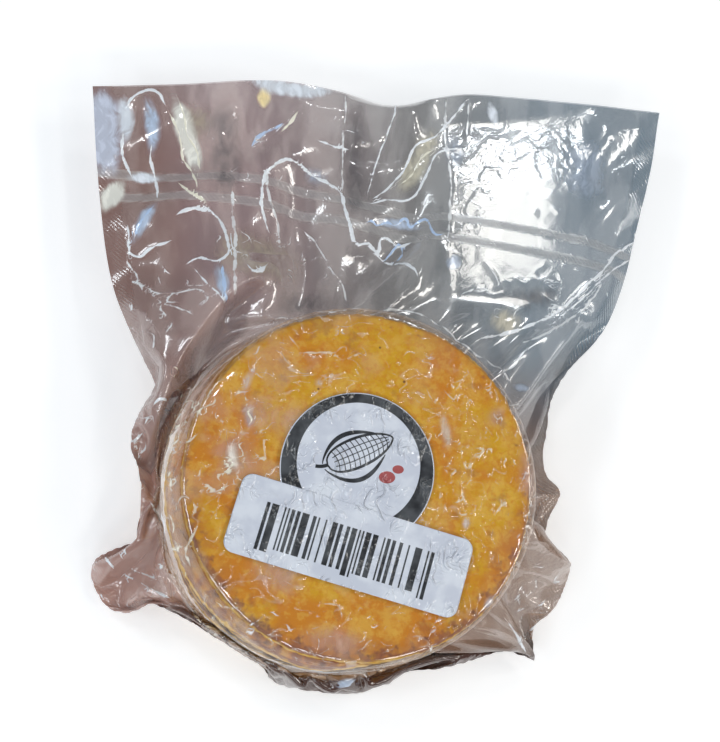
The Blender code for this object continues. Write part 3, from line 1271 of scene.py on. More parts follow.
@dataclass(frozen=True)
class FilmRelief:
    """Folds and crinkles too fine for the forming, with painted gleams and painted highlight lines along the
    creases, laid on the upper layer.
    """

    # Painted gleams: the dark ones are painted shade, the tan, pale and bluish ones in the flap are painted
    # reflections of the surroundings, the white, cream, blue, bright and gold ones are painted reflections,
    # and the milky ones are milky patches over the stack.
    gleams: tuple[Gleam, ...] = (
        *drawn(Gleam, Tint.DARK,
            (14, (-41, 148), (-40, 127), (-39, 100)),
            (10, (6, 147), (8, 95)),
            (11, (-26, 67), (-12, 67), (3, 71)),
            (10, (49, 72), (68, 71), (86, 76)),
        ),
        *drawn(Gleam, Tint.TAN, (12, (-53, 144), (-48, 126)), (22, (-48, 88), (-26, 82), (-7, 84))),
        Gleam(Tint.PALE, 11, ((49, 61), (69, 63))),
        Gleam(Tint.BRIGHT, 13, ((-84, 150), (-83, 128), (-80, 108))),
        *drawn(Gleam, Tint.SKY_SHEEN,
            (18, (97, 142), (90, 106)),
            (9, (44, 141), (44, 117)),
            (8, (-13, 122), (0, 114)),
        ),
        Gleam(Tint.PALE, 9, ((18, 111), (24, 114), (30, 123), (35, 133), (42, 141))),
        Gleam(Tint.WHITE, 5.5, ((-77, 146), (-75, 134), (-75, 122))),
        Gleam(Tint.BLUE, 6, ((-70, 146), (-66, 134), (-66, 118))),
        *drawn(Gleam, Tint.CREAM,
            (7, (-60, 146), (-57, 139), (-54, 129), (-51, 122), (-48, 112)),
            (7, (-83, 97), (-79, 105), (-74, 113)),
        ),
        Gleam(Tint.WHITE, 4, ((-76, 112), (-68, 113), (-60, 113))),
        *drawn(Gleam, Tint.BLUE,
            (5, (-60, 105), (-66, 99), (-72, 84)),
            (5, (-43, 80), (-40, 72), (-38, 60)),
        ),
        Gleam(Tint.WHITE, 6, ((-36, 152), (-14, 149), (4, 151))),
        Gleam(Tint.GOLD, 6, ((-30, 145), (-23, 146))),
        *drawn(Gleam, Tint.BLUE, (4, (10, 99), (20, 100), (36, 98)), (5, (39, 80), (41, 83), (44, 88))),
        Gleam(Tint.WHITE, 3.5, ((57, 152), (59, 146), (61, 139))),
        Gleam(Tint.BLUE, 3, ((59, 38), (66, 36))),
        *drawn(Gleam, Tint.MILKY,
            (16, (-42, 17), (-36, 8), (-41, 1)),
            (15, (-24, 31), (-27, 23), (-19, 19)),
            (14, (-15, 30), (-19, 9)),
            (12, (-33, -24), (-22, -28), (-10, -33)),
            (9, (-19, -47), (-5, -48), (12, -50)),
            (9, (47, 27), (51, 23), (54, 23)),
            (6, (56, 16), (59, 6), (60, -8)),
            (6, (-51, 4), (-51, 19), (-44, 35), (-28, 55)),
        ),
        Gleam(Tint.DARK, 4, ((-53, -4), (-50, -15), (-43, -29), (-31, -41), (-16, -49))),
        *drawn(Gleam, Tint.WHITE,
            (3, (-28, 39), (-31, 34), (-32, 30), (-34, 26)),
            (3.4, (-30, 27), (-31, 16)),
        ),
        Gleam(Tint.CREAM, 4, ((-35, 15), (-36, 9), (-35, 2))),
        Gleam(Tint.WHITE, 3, ((-9, 35), (-8, 30))),
        Gleam(Tint.CREAM, 3.4, ((31, 27), (32, 20), (34, 10))),
        *drawn(Gleam, Tint.WHITE, (3, (39, -8), (38, -15)), (2.6, (47, -33), (45, -37), (43, -40))),
        Gleam(Tint.BLUE, 3.5, ((-1, -62), (4, -61), (10, -60))),
    )
    # Creases: each is raised as a low ridge and gets a painted highlight line.
    creases: tuple[Crease, ...] = (
        *drawn(Crease, Shine.WHITE,
            (1.3, (-76, 130), (-76, 121), (-74, 117), (-72, 112)),
            (1.2, (-76, 137), (-73, 142), (-68, 145), (-64, 144), (-61, 139)),
            (1.3, (-66, 126), (-66, 119), (-64, 112), (-63, 104)),
            (1.2, (-73, 95), (-72, 86), (-71, 83), (-68, 82), (-65, 85), (-57, 88)),
            (1.3, (-48, 103), (-42, 98), (-40, 93), (-38, 83), (-42, 79), (-48, 81), (-53, 79)),
            (1.0, (-50, 78), (-46, 72), (-40, 64), (-36, 60)),
            (1.5, (-23, 93), (-26, 102), (-26, 112), (-24, 118), (-16, 123), (-7, 118), (2, 112),
            (4, 102), (7, 91), (12, 91), (18, 84), (25, 82), (28, 76)),
            (1.3, (-7, 132), (0, 130), (6, 129)),
            (1.6, (-57, 97), (-50, 101), (-44, 99)),
            (1.6, (-32, 79), (-30, 76), (-27, 76), (-24, 80)),
            (0.9, (23, 147), (18, 131), (13, 116), (12, 108)),
            (1.1, (12, 108), (18, 113), (25, 121), (29, 130), (38, 136), (50, 151)),
            (1.1, (12, 107), (19, 109), (28, 110), (34, 121), (38, 128), (49, 131)),
            (1.3, (10, 91), (15, 89), (16, 93), (19, 94), (23, 91), (29, 93)),
            (1.4, (112, 98), (104, 92), (97, 84), (90, 78), (79, 67), (67, 61), (48, 54)),
            (1.0, (110, 91), (98, 82), (84, 69), (74, 60)),
            (1.2, (65, 52), (61, 46), (55, 41)),
            (1.2, (57, -39), (60, -42), (63, -46), (68, -51)),
            (1.2, (-62, 26), (-59, 30), (-54, 28)),
            (1.1, (-77, -18), (-73, -23), (-68, -26), (-60, -31), (-52, -34)),
            (1.0, (-62, -1), (-57, -10), (-55, -20)),
        ),
        *drawn(Crease, Shine.CREAM,
            (1.0, (-58, 145), (-55, 136), (-54, 130), (-50, 124), (-48, 115)),
            (1.0, (-61, 139), (-57, 130), (-55, 122), (-51, 116), (-49, 108)),
            (1.4, (-20, 134), (-16, 138), (-13, 142)),
            (1.7, (-56, 112), (-51, 107), (-45, 103)),
            (1.0, (22, 114), (28, 119), (31, 125), (37, 130)),
            (1.2, (-15, 43), (-10, 43), (-5, 43), (-1, 41), (2, 42), (9, 45)),
            (1.3, (-48, -5), (-47, -9), (-48, -11), (-46, -13), (-48, -18), (-49, -22), (-47, -27)),
            (1.2, (-47, 2), (-43, -1), (-41, -4), (-40, -7), (-41, -9)),
            (1.2, (34, 8), (36, 6), (34, 3), (36, -1)),
            (1.2, (-8, -37), (-4, -37), (-2, -38), (-1, -42)),
        ),
        *drawn(Crease, Shine.FAINT,
            (1.0, (-72, 85), (-72, 80), (-69, 75), (-66, 67)),
            (1.0, (-66, 70), (-61, 67), (-55, 67), (-48, 68), (-42, 63)),
            (1.0, (-65, 68), (-59, 63), (-54, 61), (-48, 57)),
            (1.6, (-37, 111), (-35, 63)),
            (1.3, (-25, 120), (-24, 108), (-20, 97), (-20, 88)),
            (1.0, (-11, 98), (-6, 90), (-2, 81), (2, 75), (4, 66)),
            (1.0, (3, 150), (3, 111)),
            (1.3, (41, 150), (41, 133), (42, 115), (40, 92)),
            (1.2, (50, 151), (49, 133)),
            (1.1, (97, 81), (90, 71), (77, 60), (61, 53)),
            (0.9, (-20, 50), (-18, 48), (-15, 44), (-15, 41)),
            (0.6, (-24, 35), (-8, 35), (10, 33)),
            (1.0, (-27, 58), (-16, 61), (-8, 57), (4, 59), (20, 64), (32, 61), (41, 53), (52, 46),
            (60, 38)),
            (1.0, (-51, 33), (-52, 24), (-55, 19), (-55, 13), (-52, 7)),
            (1.0, (-72, -18), (-66, -24), (-57, -28)),
        ),
        *drawn(Crease, Shine.BLUE,
            (1.8, (-31, 127), (-28, 132), (-23, 135), (-18, 138)),
            (1.4, (-63, 103), (-66, 99), (-69, 94), (-71, 87)),
            (1.5, (-40, 79), (-39, 70), (-38, 61)),
            (1.3, (9, 98), (13, 100), (15, 98), (19, 100), (22, 99), (26, 102), (28, 99), (33, 102),
            (36, 95), (40, 96)),
            (1.2, (17, 84), (20, 89), (23, 92), (24, 88), (21, 83)),
        ),
    )
    # Strewn crinkles with painted highlight lines, over the cakes and the flap.
    strewn: tuple[Crinkles, ...] = (
        Crinkles(Shine.FAINT, (4, 2), (54, 54), 110, 90, 75, (2.0, 7.0), (0.4, 0.9), 1.2),
        Crinkles(Shine.CREAM, (-53, 6), (4, 36), 34, 92, 76, (3.0, 9.0)),
        Crinkles(Shine.CREAM, (-40, -38), (12, 9), 22, 135, 77, (2.5, 8.0)),
        Crinkles(Shine.FAINT, (60, 4), (4, 36), 24, 95, 78, (3.0, 8.0)),
        Crinkles(Shine.CREAM, (-36, 10), (13, 26), 36, 75, 61),
        Crinkles(Shine.CREAM, (41, 10), (14, 30), 60, 110, 62),
        Crinkles(Shine.CREAM, (30, -10), (24, 24), 22, 100, 63),
        Crinkles(Shine.WHITE, (0, -45), (34, 9), 26, 170, 64, (2.0, 5.0)),
        Crinkles(Shine.FAINT, (-8, 34), (34, 12), 20, 100, 65),
        Crinkles(Shine.FAINT, (0, 47), (38, 8), 16, 5, 66),
        Crinkles(Shine.FAINT, (94, 110), (22, 36), 44, 65, 67, (1.5, 6.0), (0.4, 0.8)),
        Crinkles(Shine.FAINT, (70, 72), (24, 12), 20, 35, 68, (4.0, 14.0)),
        Crinkles(Shine.FAINT, (-58, 62), (12, 16), 20, 120, 69, (4.0, 12.0)),
        Crinkles(Shine.FAINT, (-12, 84), (34, 12), 30, 80, 70, (2.0, 8.0), (0.4, 0.9)),
        Crinkles(Shine.FAINT, (-10, 128), (36, 18), 26, 100, 73, (1.5, 7.0), (0.4, 0.8)),
        Crinkles(Shine.WHITE, (-68, -26), (12, 10), 10, 120, 71, (2.0, 7.0)),
        Crinkles(Shine.WHITE, (72, -34), (12, 16), 20, 60, 72, (3.0, 9.0)),
        Crinkles(Shine.FAINT, (-64, 10), (5, 22), 12, 100, 74, (3.0, 9.0)),
    )
    wander: float = 0.45
    ripple: float = 0.2
    crease_reach: float = 1.25
    crease_scale: float = 4.0
    fold_height: float = 0.13
    fold_half: float = 1.3

    def lay(self, points: Array, air: Array) -> tuple[Array, Array, Array]:
        """Work out the relief, the painted gleams' colours and the creases' painted highlight lines.

        Args:
            points: The film's points.
            air: Share of air under each point.

        Returns:
            Height to add along the normal, the painted gleams' colour with its strength, and for the
            nearest crease its distance, half its width, its warmth and how strongly its painted highlight
            shows.
        """
        x, y = points[..., 0], points[..., 1]
        bent_x = x + self.wander * PlaneNoise(9.0, 31).at(x, y) + self.ripple * PlaneNoise(3.0, 34).at(x, y)
        bent_y = y + self.wander * PlaneNoise(9.0, 32).at(x, y) + self.ripple * PlaneNoise(3.0, 35).at(x, y)
        lift = 0.06 * air * np.abs(PlaneNoise(11.0, 33).at(bent_x, bent_y))
        colour, cover = np.zeros((*x.shape, 3)), np.zeros(x.shape)
        for gleam in self.gleams:
            tint, shine = gleam.tint.value
            share = (gleam.strength(bent_x, bent_y) * shine)[..., None]
            colour = colour * (1 - share) + np.array(tint) * share
            cover = cover * (1 - share[..., 0]) + share[..., 0]
        gleams = np.concatenate([colour / np.maximum(cover, TINY)[..., None], cover[..., None]], -1)
        lines, fold = self.draw_creases(bent_x, bent_y)
        return lift + fold, gleams, lines

    def draw_creases(self, x: Array, y: Array) -> Pair:
        """Find the nearest crease to each place.

        Args:
            x: Places in plan.
            y: Places in plan.

        Returns:
            Distance, half width, warmth and strength of its painted highlight line, and how high
            the film stands up there.
        """
        nearest, fold = np.full(x.shape, np.inf), np.zeros(x.shape)
        lines = np.zeros((*x.shape, 4))
        lines[..., 0], lines[..., 1] = self.crease_scale, -1.0
        strewn = [crease for patch in self.strewn for crease in patch.creases()]
        for crease in (*self.creases, *strewn):
            close, aside, along, long = beside(crease.line, 2 * self.crease_reach, x, y)
            ends = np.minimum(along, long - along) / min(crease.taper, long / 2)
            ends = np.minimum(ends, 1.0)
            away = np.abs(aside)
            rise = self.fold_height * crease.width * ends * (1 - eased(0.0, self.fold_half, away))
            fold[close] = np.maximum(fold[close], rise)
            warmth, shine = crease.shine.value
            half = np.where(away < self.crease_reach, crease.width / 2 * ends, -1.0)
            mine = np.stack(np.broadcast_arrays(aside, half, warmth, shine), -1)
            better = away < nearest[close]
            lines[close] = np.where(better[:, None], mine, lines[close])
            nearest[close] = np.where(better, away, nearest[close])
        return np.clip(lines, -self.crease_scale, self.crease_scale), fold


def softened(layer: Array, spread: float) -> Array:
    """Blur a grid of points along both directions.

    Args:
        layer: The points.
        spread: Spread of the blur, in grid steps.

    Returns:
        The softened points.
    """
    reach = round(3 * spread)
    weights = np.exp(-0.5 * (np.arange(-reach, reach + 1) / spread) ** 2)
    weights /= weights.sum()
    for axis in (0, 1):
        padding = [(0, 0)] * 3
        padding[axis] = (reach, reach)
        padded = np.pad(layer, padding, mode="reflect", reflect_type="odd")
        count = layer.shape[axis]
        shifted = (padded.take(np.arange(first, first + count), axis) for first in range(2 * reach + 1))
        layer = sum(weight * part for weight, part in zip(weights, shifted))
    return layer


@dataclass(frozen=True)
class FlapCalm:
    """How much smoother the flap hangs than the film near the stack, with one nearly flat patch."""

    flap_from: float = 70.0
    flap_to: float = 95.0
    flap_spread: float = 4.5
    patch_middle: Spot = (66.0, 106.0)
    patch_half: Spot = (24.0, 34.0)
    patch_feather: float = 14.0
    patch_spread: float = 12.0
    patch_lean: Spot = (0.009, -0.132)

    def settle(self, layer: Array, flat: Array) -> Array:
        """Soften a layer.

        Args:
            layer: Points of the formed layer.
            flat: Their flat places.

        Returns:
            The softened points.
        """
        flap = eased(self.flap_from, self.flap_to, flat[..., 1])[..., None]
        layer = layer + (softened(layer, 1.0) - layer) * 0.6
        layer += (softened(layer, self.flap_spread) - layer) * flap
        offset = np.abs(layer[..., :2] - self.patch_middle) - self.patch_half
        outside = np.linalg.norm(np.maximum(offset, 0), axis=-1)
        share = (1 - eased(0.0, self.patch_feather, outside))[..., None]
        layer += (softened(layer, self.patch_spread) - layer) * share
        plane = layer[..., :2] @ np.array(self.patch_lean)
        plane += (layer[..., 2] - plane)[outside <= 0].mean()
        layer[..., 2] += (plane - layer[..., 2]) * share[..., 0]
        return layer


@dataclass(frozen=True)
class FilmPiece:
    """One formed layer made into a fine sheet."""

    layer: Layer
    rows: int
    columns: int
    cut: FlatCut
    stack: CakeStack
    bed: LabelBed
    relief: FilmRelief = field(default_factory=FilmRelief)
    calm: FlapCalm = field(default_factory=FlapCalm)
    touching: float = 0.9
    loose: float = 6.5

    def build(self, formed: Array, flat: Array, finish: "FilmFinish") -> Object:
        """Make the sheet.

        Args:
            formed: Points of the formed layer.
            flat: Their flat places.
            finish: The film's finish.

        Returns:
            The piece.
        """
        calmed = self.calm.settle(formed.astype(float), flat)
        points = resample(resample(calmed, self.rows, 0), self.columns, 1)
        places = resample(resample(flat, self.rows, 0), self.columns, 1)
        outward = layer_normals(points)
        if self.layer is Layer.LOWER:
            outward *= -1
        gap = self.stack.distance(points)
        air = eased(self.touching, self.loose, gap)
        gleams = creases = np.zeros((*gap.shape, 4))
        if self.layer is Layer.UPPER:
            lift, gleams, creases = self.relief.lay(points, air)
            points += outward * lift[..., None]
            self.bed.flatten(points)
        np.maximum(points[..., 2], 0.1, out=points[..., 2])
        faces = grid_faces(self.rows, self.columns)
        if self.layer is Layer.LOWER:
            faces = faces[:, ::-1]
        made = make_mesh(self.layer.value, points, [faces], finish.make())
        self.map_flat(made, places)
        seam = 1 - eased(self.cut.side_seam - 0.8, self.cut.side_seam + 0.4, self.cut.from_side(places))
        weld = 1 - eased(self.cut.seal_half - 0.5, self.cut.seal_half + 0.5, self.cut.in_seal(places))
        paint_points(made, STATE, np.stack([air, seam, weld], -1))
        # Painted gleams (painted reflections, painted shade and milky patches) for the film's colour.
        paint_points(made, PAINTED_GLEAMS, gleams)
        # The creases' painted highlight lines for the film's colour.
        paint_points(made, CREASE_HIGHLIGHTS, creases)
        return fit_in(made, "clear_film", BAG)

    def map_flat(self, made: Object, places: Array) -> None:
        """Store where each point lay in the flat film, as the mesh's map.

        Args:
            made: The sheet.
            places: Flat places of its points.
        """
        corners = np.empty(len(made.data.loops), np.int32)
        made.data.loops.foreach_get("vertex_index", corners)
        spots = places.reshape(-1, 2)[corners] / FLAT_SPAN + 0.5
        layer = made.data.uv_layers.new(name=FLAT_MAP)
        layer.data.foreach_set("uv", spots.astype(np.float32).ravel())


@dataclass(frozen=True)
class FilmFinish:
    """Glossy clear film, faintly milky where air lies under it, greyed and tinted by painted shade and
    painted reflections of the surroundings where it hangs free, with painted highlights.
    """

    name: str
    gloss_roughness: float = 0.07
    face_gloss: float = 0.07
    edge_gloss: float = 0.32
    edge_power: float = 4.0

    def make(self) -> Material:
        """Make the material.

        Returns:
            The film's material.
        """
        made, net, base = new_material(self.name)
        spot = net.node("ShaderNodeUVMap", uv_map=FLAT_MAP).outputs[0]
        flat = net.move(
            "MULTIPLY_ADD", spot, (FLAT_SPAN, FLAT_SPAN, 0.0), (-FLAT_SPAN / 2, -FLAT_SPAN / 2, 0.0)
        )
        state, gleams, creases = (
            net.node("ShaderNodeAttribute", attribute_name=name).outputs for name in (STATE, PAINTED_GLEAMS, CREASE_HIGHLIGHTS)
        )
        # The film's colour takes in the painted gleams and the creases' painted highlight lines.
        surface = film_surface().place_in(
            net,
            Flat=flat,
            State=state["Color"],
            Gleam=gleams["Color"],
            Strength=gleams["Alpha"],
            Crease=creases["Vector"],
            Shine=creases["Alpha"],
        )
        normal = net.bump(surface["Height"])
        shown = {"Base Color": surface["Colour"], "Alpha": surface["Share"], "Normal": normal}
        net.give(base, {**shown, "Roughness": 0.24, "Specular IOR Level": 0.5})
        gloss = net.node("ShaderNodeBsdfGlossy")
        net.give(gloss, {"Roughness": self.gloss_roughness, "Color": (1.0, 1.0, 1.0), "Normal": normal})
        facing = net.give(net.node("ShaderNodeLayerWeight"), {"Blend": 0.5, "Normal": normal})
        slant = net.calc("POWER", facing.outputs["Facing"], self.edge_power)
        mirror = net.scaled(slant, self.edge_gloss, self.face_gloss)
        mix = net.node("ShaderNodeMixShader")
        net.give(mix, {0: mirror, 1: base.outputs[0], 2: gloss.outputs[0]})
        net.give(made.node_tree.nodes["Material Output"], {"Surface": mix.outputs[0]})
        return made


@cache
def film_surface() -> Effect:
    """Make the film's clouding and crinkles, with its painted shade, painted reflections and painted
    highlights.

    Returns:
        The group. Flat is the place in the flat film in millimetres, State holds air, side
        seam and heat seal, Gleam is the colour of the painted gleams, with their Strength, and
        Crease holds the nearest crease's distance, half width and warmth, with the Shine of its
        painted highlight line. It gives Colour, Share (how much is not clear) and Height.
    """
    effect = Effect(
        "film_surface",
        {
            "Flat": "Vector",
            "State": "Color",
            "Gleam": "Color",
            "Strength": "Float",
            "Crease": "Vector",
            "Shine": "Float",
        },
        {"Colour": "Color", "Share": "Float", "Height": "Float"},
    )
    net, flat = effect.net, effect.taken["Flat"]
    air, seam, weld = net.parts(effect.taken["State"])
    x, y, _ = net.parts(flat)
    held = net.rest(air)

    # Squiggles: small crinkles over the cakes, raised in the bump and painted as highlights below.
    twist = net.move("SUBTRACT", net.noise(flat, 10.0, 1.0).outputs["Color"], (0.5, 0.5, 0.5))
    bent = net.move("MULTIPLY_ADD", twist, (9.0, 9.0, 9.0), flat)
    from_middle = net.calc("ABSOLUTE", net.calc("SUBTRACT", x, 4.0))
    side_on = net.span(from_middle, 14.0, 38.0)
    upright = net.ridge(net.move("MULTIPLY", bent, (1.0, 0.28, 1.0)), 3.0, 0.05)
    level = net.ridge(net.move("MULTIPLY", bent, (0.28, 1.0, 1.0)), 3.0, 0.05)
    squiggle = net.calc("ADD", net.times(upright, side_on), net.times(level, net.rest(side_on)))
    present = net.lumps(flat, 6.0, 0.50, 0.56)
    squiggle = net.times(squiggle, present, held)

    # Colour of the film where it hangs free: grey, bluish to the right, warm to the left and brown at the
    # edges. This is painted shade and painted reflections of the surroundings.
    hanging_bands = net.move("MULTIPLY", flat, (1.0, 0.3, 1.0))
    cloud = net.lumps(hanging_bands, 14.0, 0.40, 0.60, 3.0)
    to_left = net.span(x, 25.0, -65.0)
    to_right = net.span(x, 5.0, 75.0)
    to_foot = net.span(y, 75.0, 15.0)
    at_side = net.span(x, -62.0, -92.0)
    at_edge = net.calc("MAXIMUM", at_side, to_foot)
    shade_under_foot = net.span(y, -50.0, -66.0)
    middle = net.blend(cloud, (0.15, 0.145, 0.14), (0.25, 0.245, 0.235))
    hanging = net.blend(to_right, middle, (0.15, 0.22, 0.28))
    hanging = net.blend(to_left, hanging, net.blend(cloud, (0.28, 0.14, 0.145), (0.50, 0.32, 0.29)))
    edging = net.blend(net.span(x, -20.0, 60.0), (0.57, 0.32, 0.25), (0.40, 0.20, 0.09))
    edging = net.blend(net.rest(to_foot), edging, (0.27, 0.13, 0.095))
    hanging = net.blend(net.times(at_edge, 0.85), hanging, edging)
    # Painted shade: dark brown at the bottom fold under the foot.
    hanging = net.blend(shade_under_foot, hanging, (0.075, 0.022, 0.007))
    hanging = net.blend(net.times(weld, 0.5), hanging, (0.50, 0.49, 0.48))
    round_stack = net.span(net.long(net.move("SUBTRACT", flat, (2.0, 0.0, 0.0))), 58.0, 76.0)
    off_stack = net.calc("MAXIMUM", net.span(air, 0.08, 0.5), round_stack)
    colour = net.blend(off_stack, (0.88, 0.58, 0.35), hanging)
    lifting = net.times(
        net.span(air, 0.0, 0.03), net.span(air, 0.05, 0.30, 1.0, 0.0), net.lumps(flat, 5.0, 0.45, 0.60, 4.0)
    )
    colour = net.blend(lifting, colour, (0.72, 0.54, 0.42))
    # Painted highlights along the heat seal's edges and on the squiggles.
    line = net.times(weld, net.rest(weld), net.lumps(flat, 5.0, 0.35, 0.60))
    bright = net.calc("MAXIMUM", line, net.times(squiggle, 0.6))
    colour = net.blend(bright, colour, (0.95, 0.92, 0.86))
    # Painted gleams from the points (painted reflections, painted shade and milky patches), broken into
    # filaments.
    drawn_out = net.move("MULTIPLY", bent, (1.0, 0.3, 1.0))
    filaments = net.noise(drawn_out, 2.0, 4.0).outputs["Fac"]
    gleam = net.times(effect.taken["Strength"], net.span(filaments, 0.34, 0.60, 0.7, 1.1))
    sparkling = net.move("MULTIPLY", effect.taken["Gleam"], net.span(filaments, 0.48, 0.66, 1.0, 1.2))
    colour = net.blend(net.span(gleam, 0.0, 0.40), colour, sparkling)
    # Painted highlight lines along the creases, blue to cream.
    aside, half, warmth = net.parts(effect.taken["Crease"])
    uneven = net.noise(flat, 4.0, 3.0).outputs["Fac"]
    half = net.times(half, net.span(uneven, 0.32, 0.62, 0.55, 1.2))
    crease = net.span(net.calc("SUBTRACT", half, net.calc("ABSOLUTE", aside)), 0.0, 0.4)
    crease = net.times(crease, effect.taken["Shine"], net.span(uneven, 0.35, 0.55, 0.5, 1.0))
    cool = net.blend(net.span(warmth, 0.0, 0.5), (0.55, 0.70, 0.95), (0.95, 0.97, 1.0))
    glint = net.blend(net.span(warmth, 0.5, 1.0), cool, (0.97, 0.92, 0.76))
    colour = net.blend(net.span(crease, 0.0, 0.5), colour, glint)

    patch = net.lumps(flat, 16.0, 0.50, 0.58, 5.0)
    patch = net.times(patch, net.span(x, 40.0, -25.0, 0.25, 1.0))
    veil = net.lumps(flat, 6.0, 0.45, 0.75, 4.0)
    milky = net.scaled(patch, 0.26, net.times(veil, 0.04))
    clear_share = net.times(held, milky)
    # Denser grey film where it hangs free, more at the side and under the foot: painted shade.
    grey = net.span(cloud, 0.0, 1.0, 0.56, 0.46)
    grey = net.scaled(at_side, 0.14, grey)
    grey = net.scaled(shade_under_foot, 0.35, grey)
    loose = net.times(air, net.span(shade_under_foot, 0.0, 1.0, 1.0, 2.5))
    loose = net.span(loose, 0.0, net.span(to_foot, 0.0, 1.0, 0.8, 0.4))
    free_share = net.times(loose, grey)
    share = net.calc("ADD", clear_share, free_share)
    share = net.calc("MAXIMUM", share, net.times(round_stack, 0.42))
    share = net.scaled(lifting, 0.14, share)
    diagonal = net.scaled(x, 1.0, net.times(y, 0.8))
    ribs = net.calc("SINE", net.times(diagonal, 2 * math.pi / 1.5))
    pressed = net.calc("MAXIMUM", seam, weld)
    hatch = net.scaled(ribs, 0.03, 0.10)
    share = net.scaled(pressed, hatch, share)
    # The painted highlights make the film less clear where they lie.
    share = net.scaled(bright, 0.5, share)
    # The painted gleams make the film less clear where they lie.
    share = net.scaled(gleam, 0.8, share)
    # The creases' painted highlight lines make the film less clear where they lie.
    share = net.calc("MULTIPLY_ADD", crease, 0.7, share, clamp=True)

    crumple = net.ridge(bent, 12.0, 0.12, 1.0)
    fine = net.ridge(bent, 3.2, 0.10, 1.0)
    folds = net.scaled(crumple, 0.045, net.times(fine, 0.012))
    from_patch = net.move("MULTIPLY", net.move("SUBTRACT", flat, (66.0, 100.0, 0.0)), (0.030, 0.020, 0.0))
    off_patch = net.span(net.long(from_patch), 0.7, 1.2, 0.12, 1.0)
    height = net.times(folds, air, off_patch)
    height = net.scaled(squiggle, 0.2, height)
    height = net.scaled(crease, 0.12, height)
    height = net.scaled(net.times(ribs, pressed), 0.02, height)
    fine_waves = net.scaled(held, 0.035, net.times(off_patch, 0.010))
    height = net.scaled(net.noise(flat, 3.0, 1.0).outputs["Fac"], fine_waves, height)
    effect.put(Colour=colour, Share=share, Height=height)
    return effect


# Corn cakes.


@dataclass(frozen=True)
class CornCake:
    """One toasted corn cake: flat faces with a browned skin, a pale crumbly side."""

    place: CakePlace
    level: int
    stack: CakeStack
    ring_step: float
    around: int
    inset: float = 0.3
    waviness: float = 1.3
    bumps: float = 0.4
    bites: float = 0.9
    furrows: float = 0.7

    def profile(self) -> tuple[Array, Array, Array, Array, Array]:
        """Draw the cake's section from the middle of its top to the middle of its bottom.

        Returns:
            Radius, height, outward and upward share of the normal, and how toasted it is.
        """
        half = self.stack.thickness / 2 - self.inset
        curve = self.stack.rim_round - self.inset
        core = self.place.radius - self.inset - curve
        rings = np.linspace(0, 1, max(4, round(core / self.ring_step)) + 1)[1:] * core
        arc = np.linspace(0, math.pi / 2, 7)[1:]
        drop = np.linspace(half - curve, -(half - curve), 5)[1:-1]
        radius = np.concatenate([rings, core + curve * np.sin(arc), np.full(3, core + curve)])
        height = np.concatenate([np.full(len(rings), half), half - curve * (1 - np.cos(arc)), drop])
        out = np.concatenate([np.zeros(len(rings)), np.sin(arc), np.ones(3)])
        up = np.concatenate([np.ones(len(rings)), np.cos(arc), np.zeros(3)])
        toast = np.concatenate([np.ones(len(rings)), 1 - eased(0.45, 0.98, np.sin(arc)), np.zeros(3)])
        turned = len(rings) + len(arc)
        lines = zip((radius, height, out, up, toast), (1, -1, 1, -1, 1))
        return tuple(np.concatenate([line, sign * line[:turned][::-1]]) for line, sign in lines)

    def build(self, finish: Material) -> Object:
        """Make the cake.

        Args:
            finish: Its material.

        Returns:
            The piece.
        """
        radius, height, out, up, toast = self.profile()
        angle = np.linspace(0, 2 * math.pi, self.around, endpoint=False)
        ray = np.stack([np.cos(angle), np.sin(angle)], -1)
        middle = (2 * self.level + 1) * self.stack.thickness / 2
        flat = radius[:, None, None] * ray
        points = np.concatenate([flat, np.broadcast_to(height[:, None, None], (*flat.shape[:2], 1))], -1)
        normal = np.concatenate(
            [out[:, None, None] * ray, np.broadcast_to(up[:, None, None], (*flat.shape[:2], 1))], -1
        )
        outline = solid_noise(np.pad(ray * 2.2, ((0, 0), (0, 1))), 1.0, 40 + self.level)
        skin = solid_noise(points, 8.0, 50 + self.level) + 0.6 * solid_noise(points, 3.4, 60 + self.level)
        grain = solid_noise(points, 1.3, 70 + self.level)
        tears = solid_noise(points, (1.9, 1.9, 7.0), 80 + self.level)
        side = 1 - toast[:, None]
        sink = self.bumps * (0.5 - 0.4 * skin) + 0.08 * grain
        sink = np.maximum(sink, 0) + side * self.furrows * np.maximum(0.25 + tears, 0)
        bitten = solid_noise(points, (5.0, 5.0, 9.0), 90 + self.level)
        sink += self.bites * np.maximum(0.1 + bitten, 0) * out[:, None] * toast[:, None]
        points -= normal * sink[..., None]
        points[..., :2] *= 1 - (self.waviness * (0.5 - outline) / self.place.radius)[None, :, None]
        caps = np.array([[0.0, 0.0, points[0, :, 2].mean()], [0.0, 0.0, points[-1, :, 2].mean()]])
        joined = np.vstack([points.reshape(-1, 3), caps]) + (self.place.x, self.place.y, middle)
        rows = len(radius)
        first = np.arange(self.around)
        after = (first + 1) % self.around
        last = (rows - 1) * self.around
        fans = [
            np.stack([np.full(self.around, rows * self.around), first, after], -1),
            np.stack([np.full(self.around, rows * self.around + 1), last + after, last + first], -1),
        ]
        rings = grid_faces(rows, self.around, closed=True)[:, ::-1]
        made = make_mesh(f"corn_cake_{self.level + 1}", joined, [rings, *fans], finish)
        edge = eased(self.place.radius - 11.0, self.place.radius - 1.5, radius) * (toast > 0.02)
        state = np.stack(np.broadcast_arrays(toast[:, None], edge[:, None], first[None, :] * 0.0), -1)
        paint_points(made, "baking", np.vstack([state.reshape(-1, 3), [[1, 0, 0], [1, 0, 0]]]))
        return fit_in(made, "corn_cake", BAG)


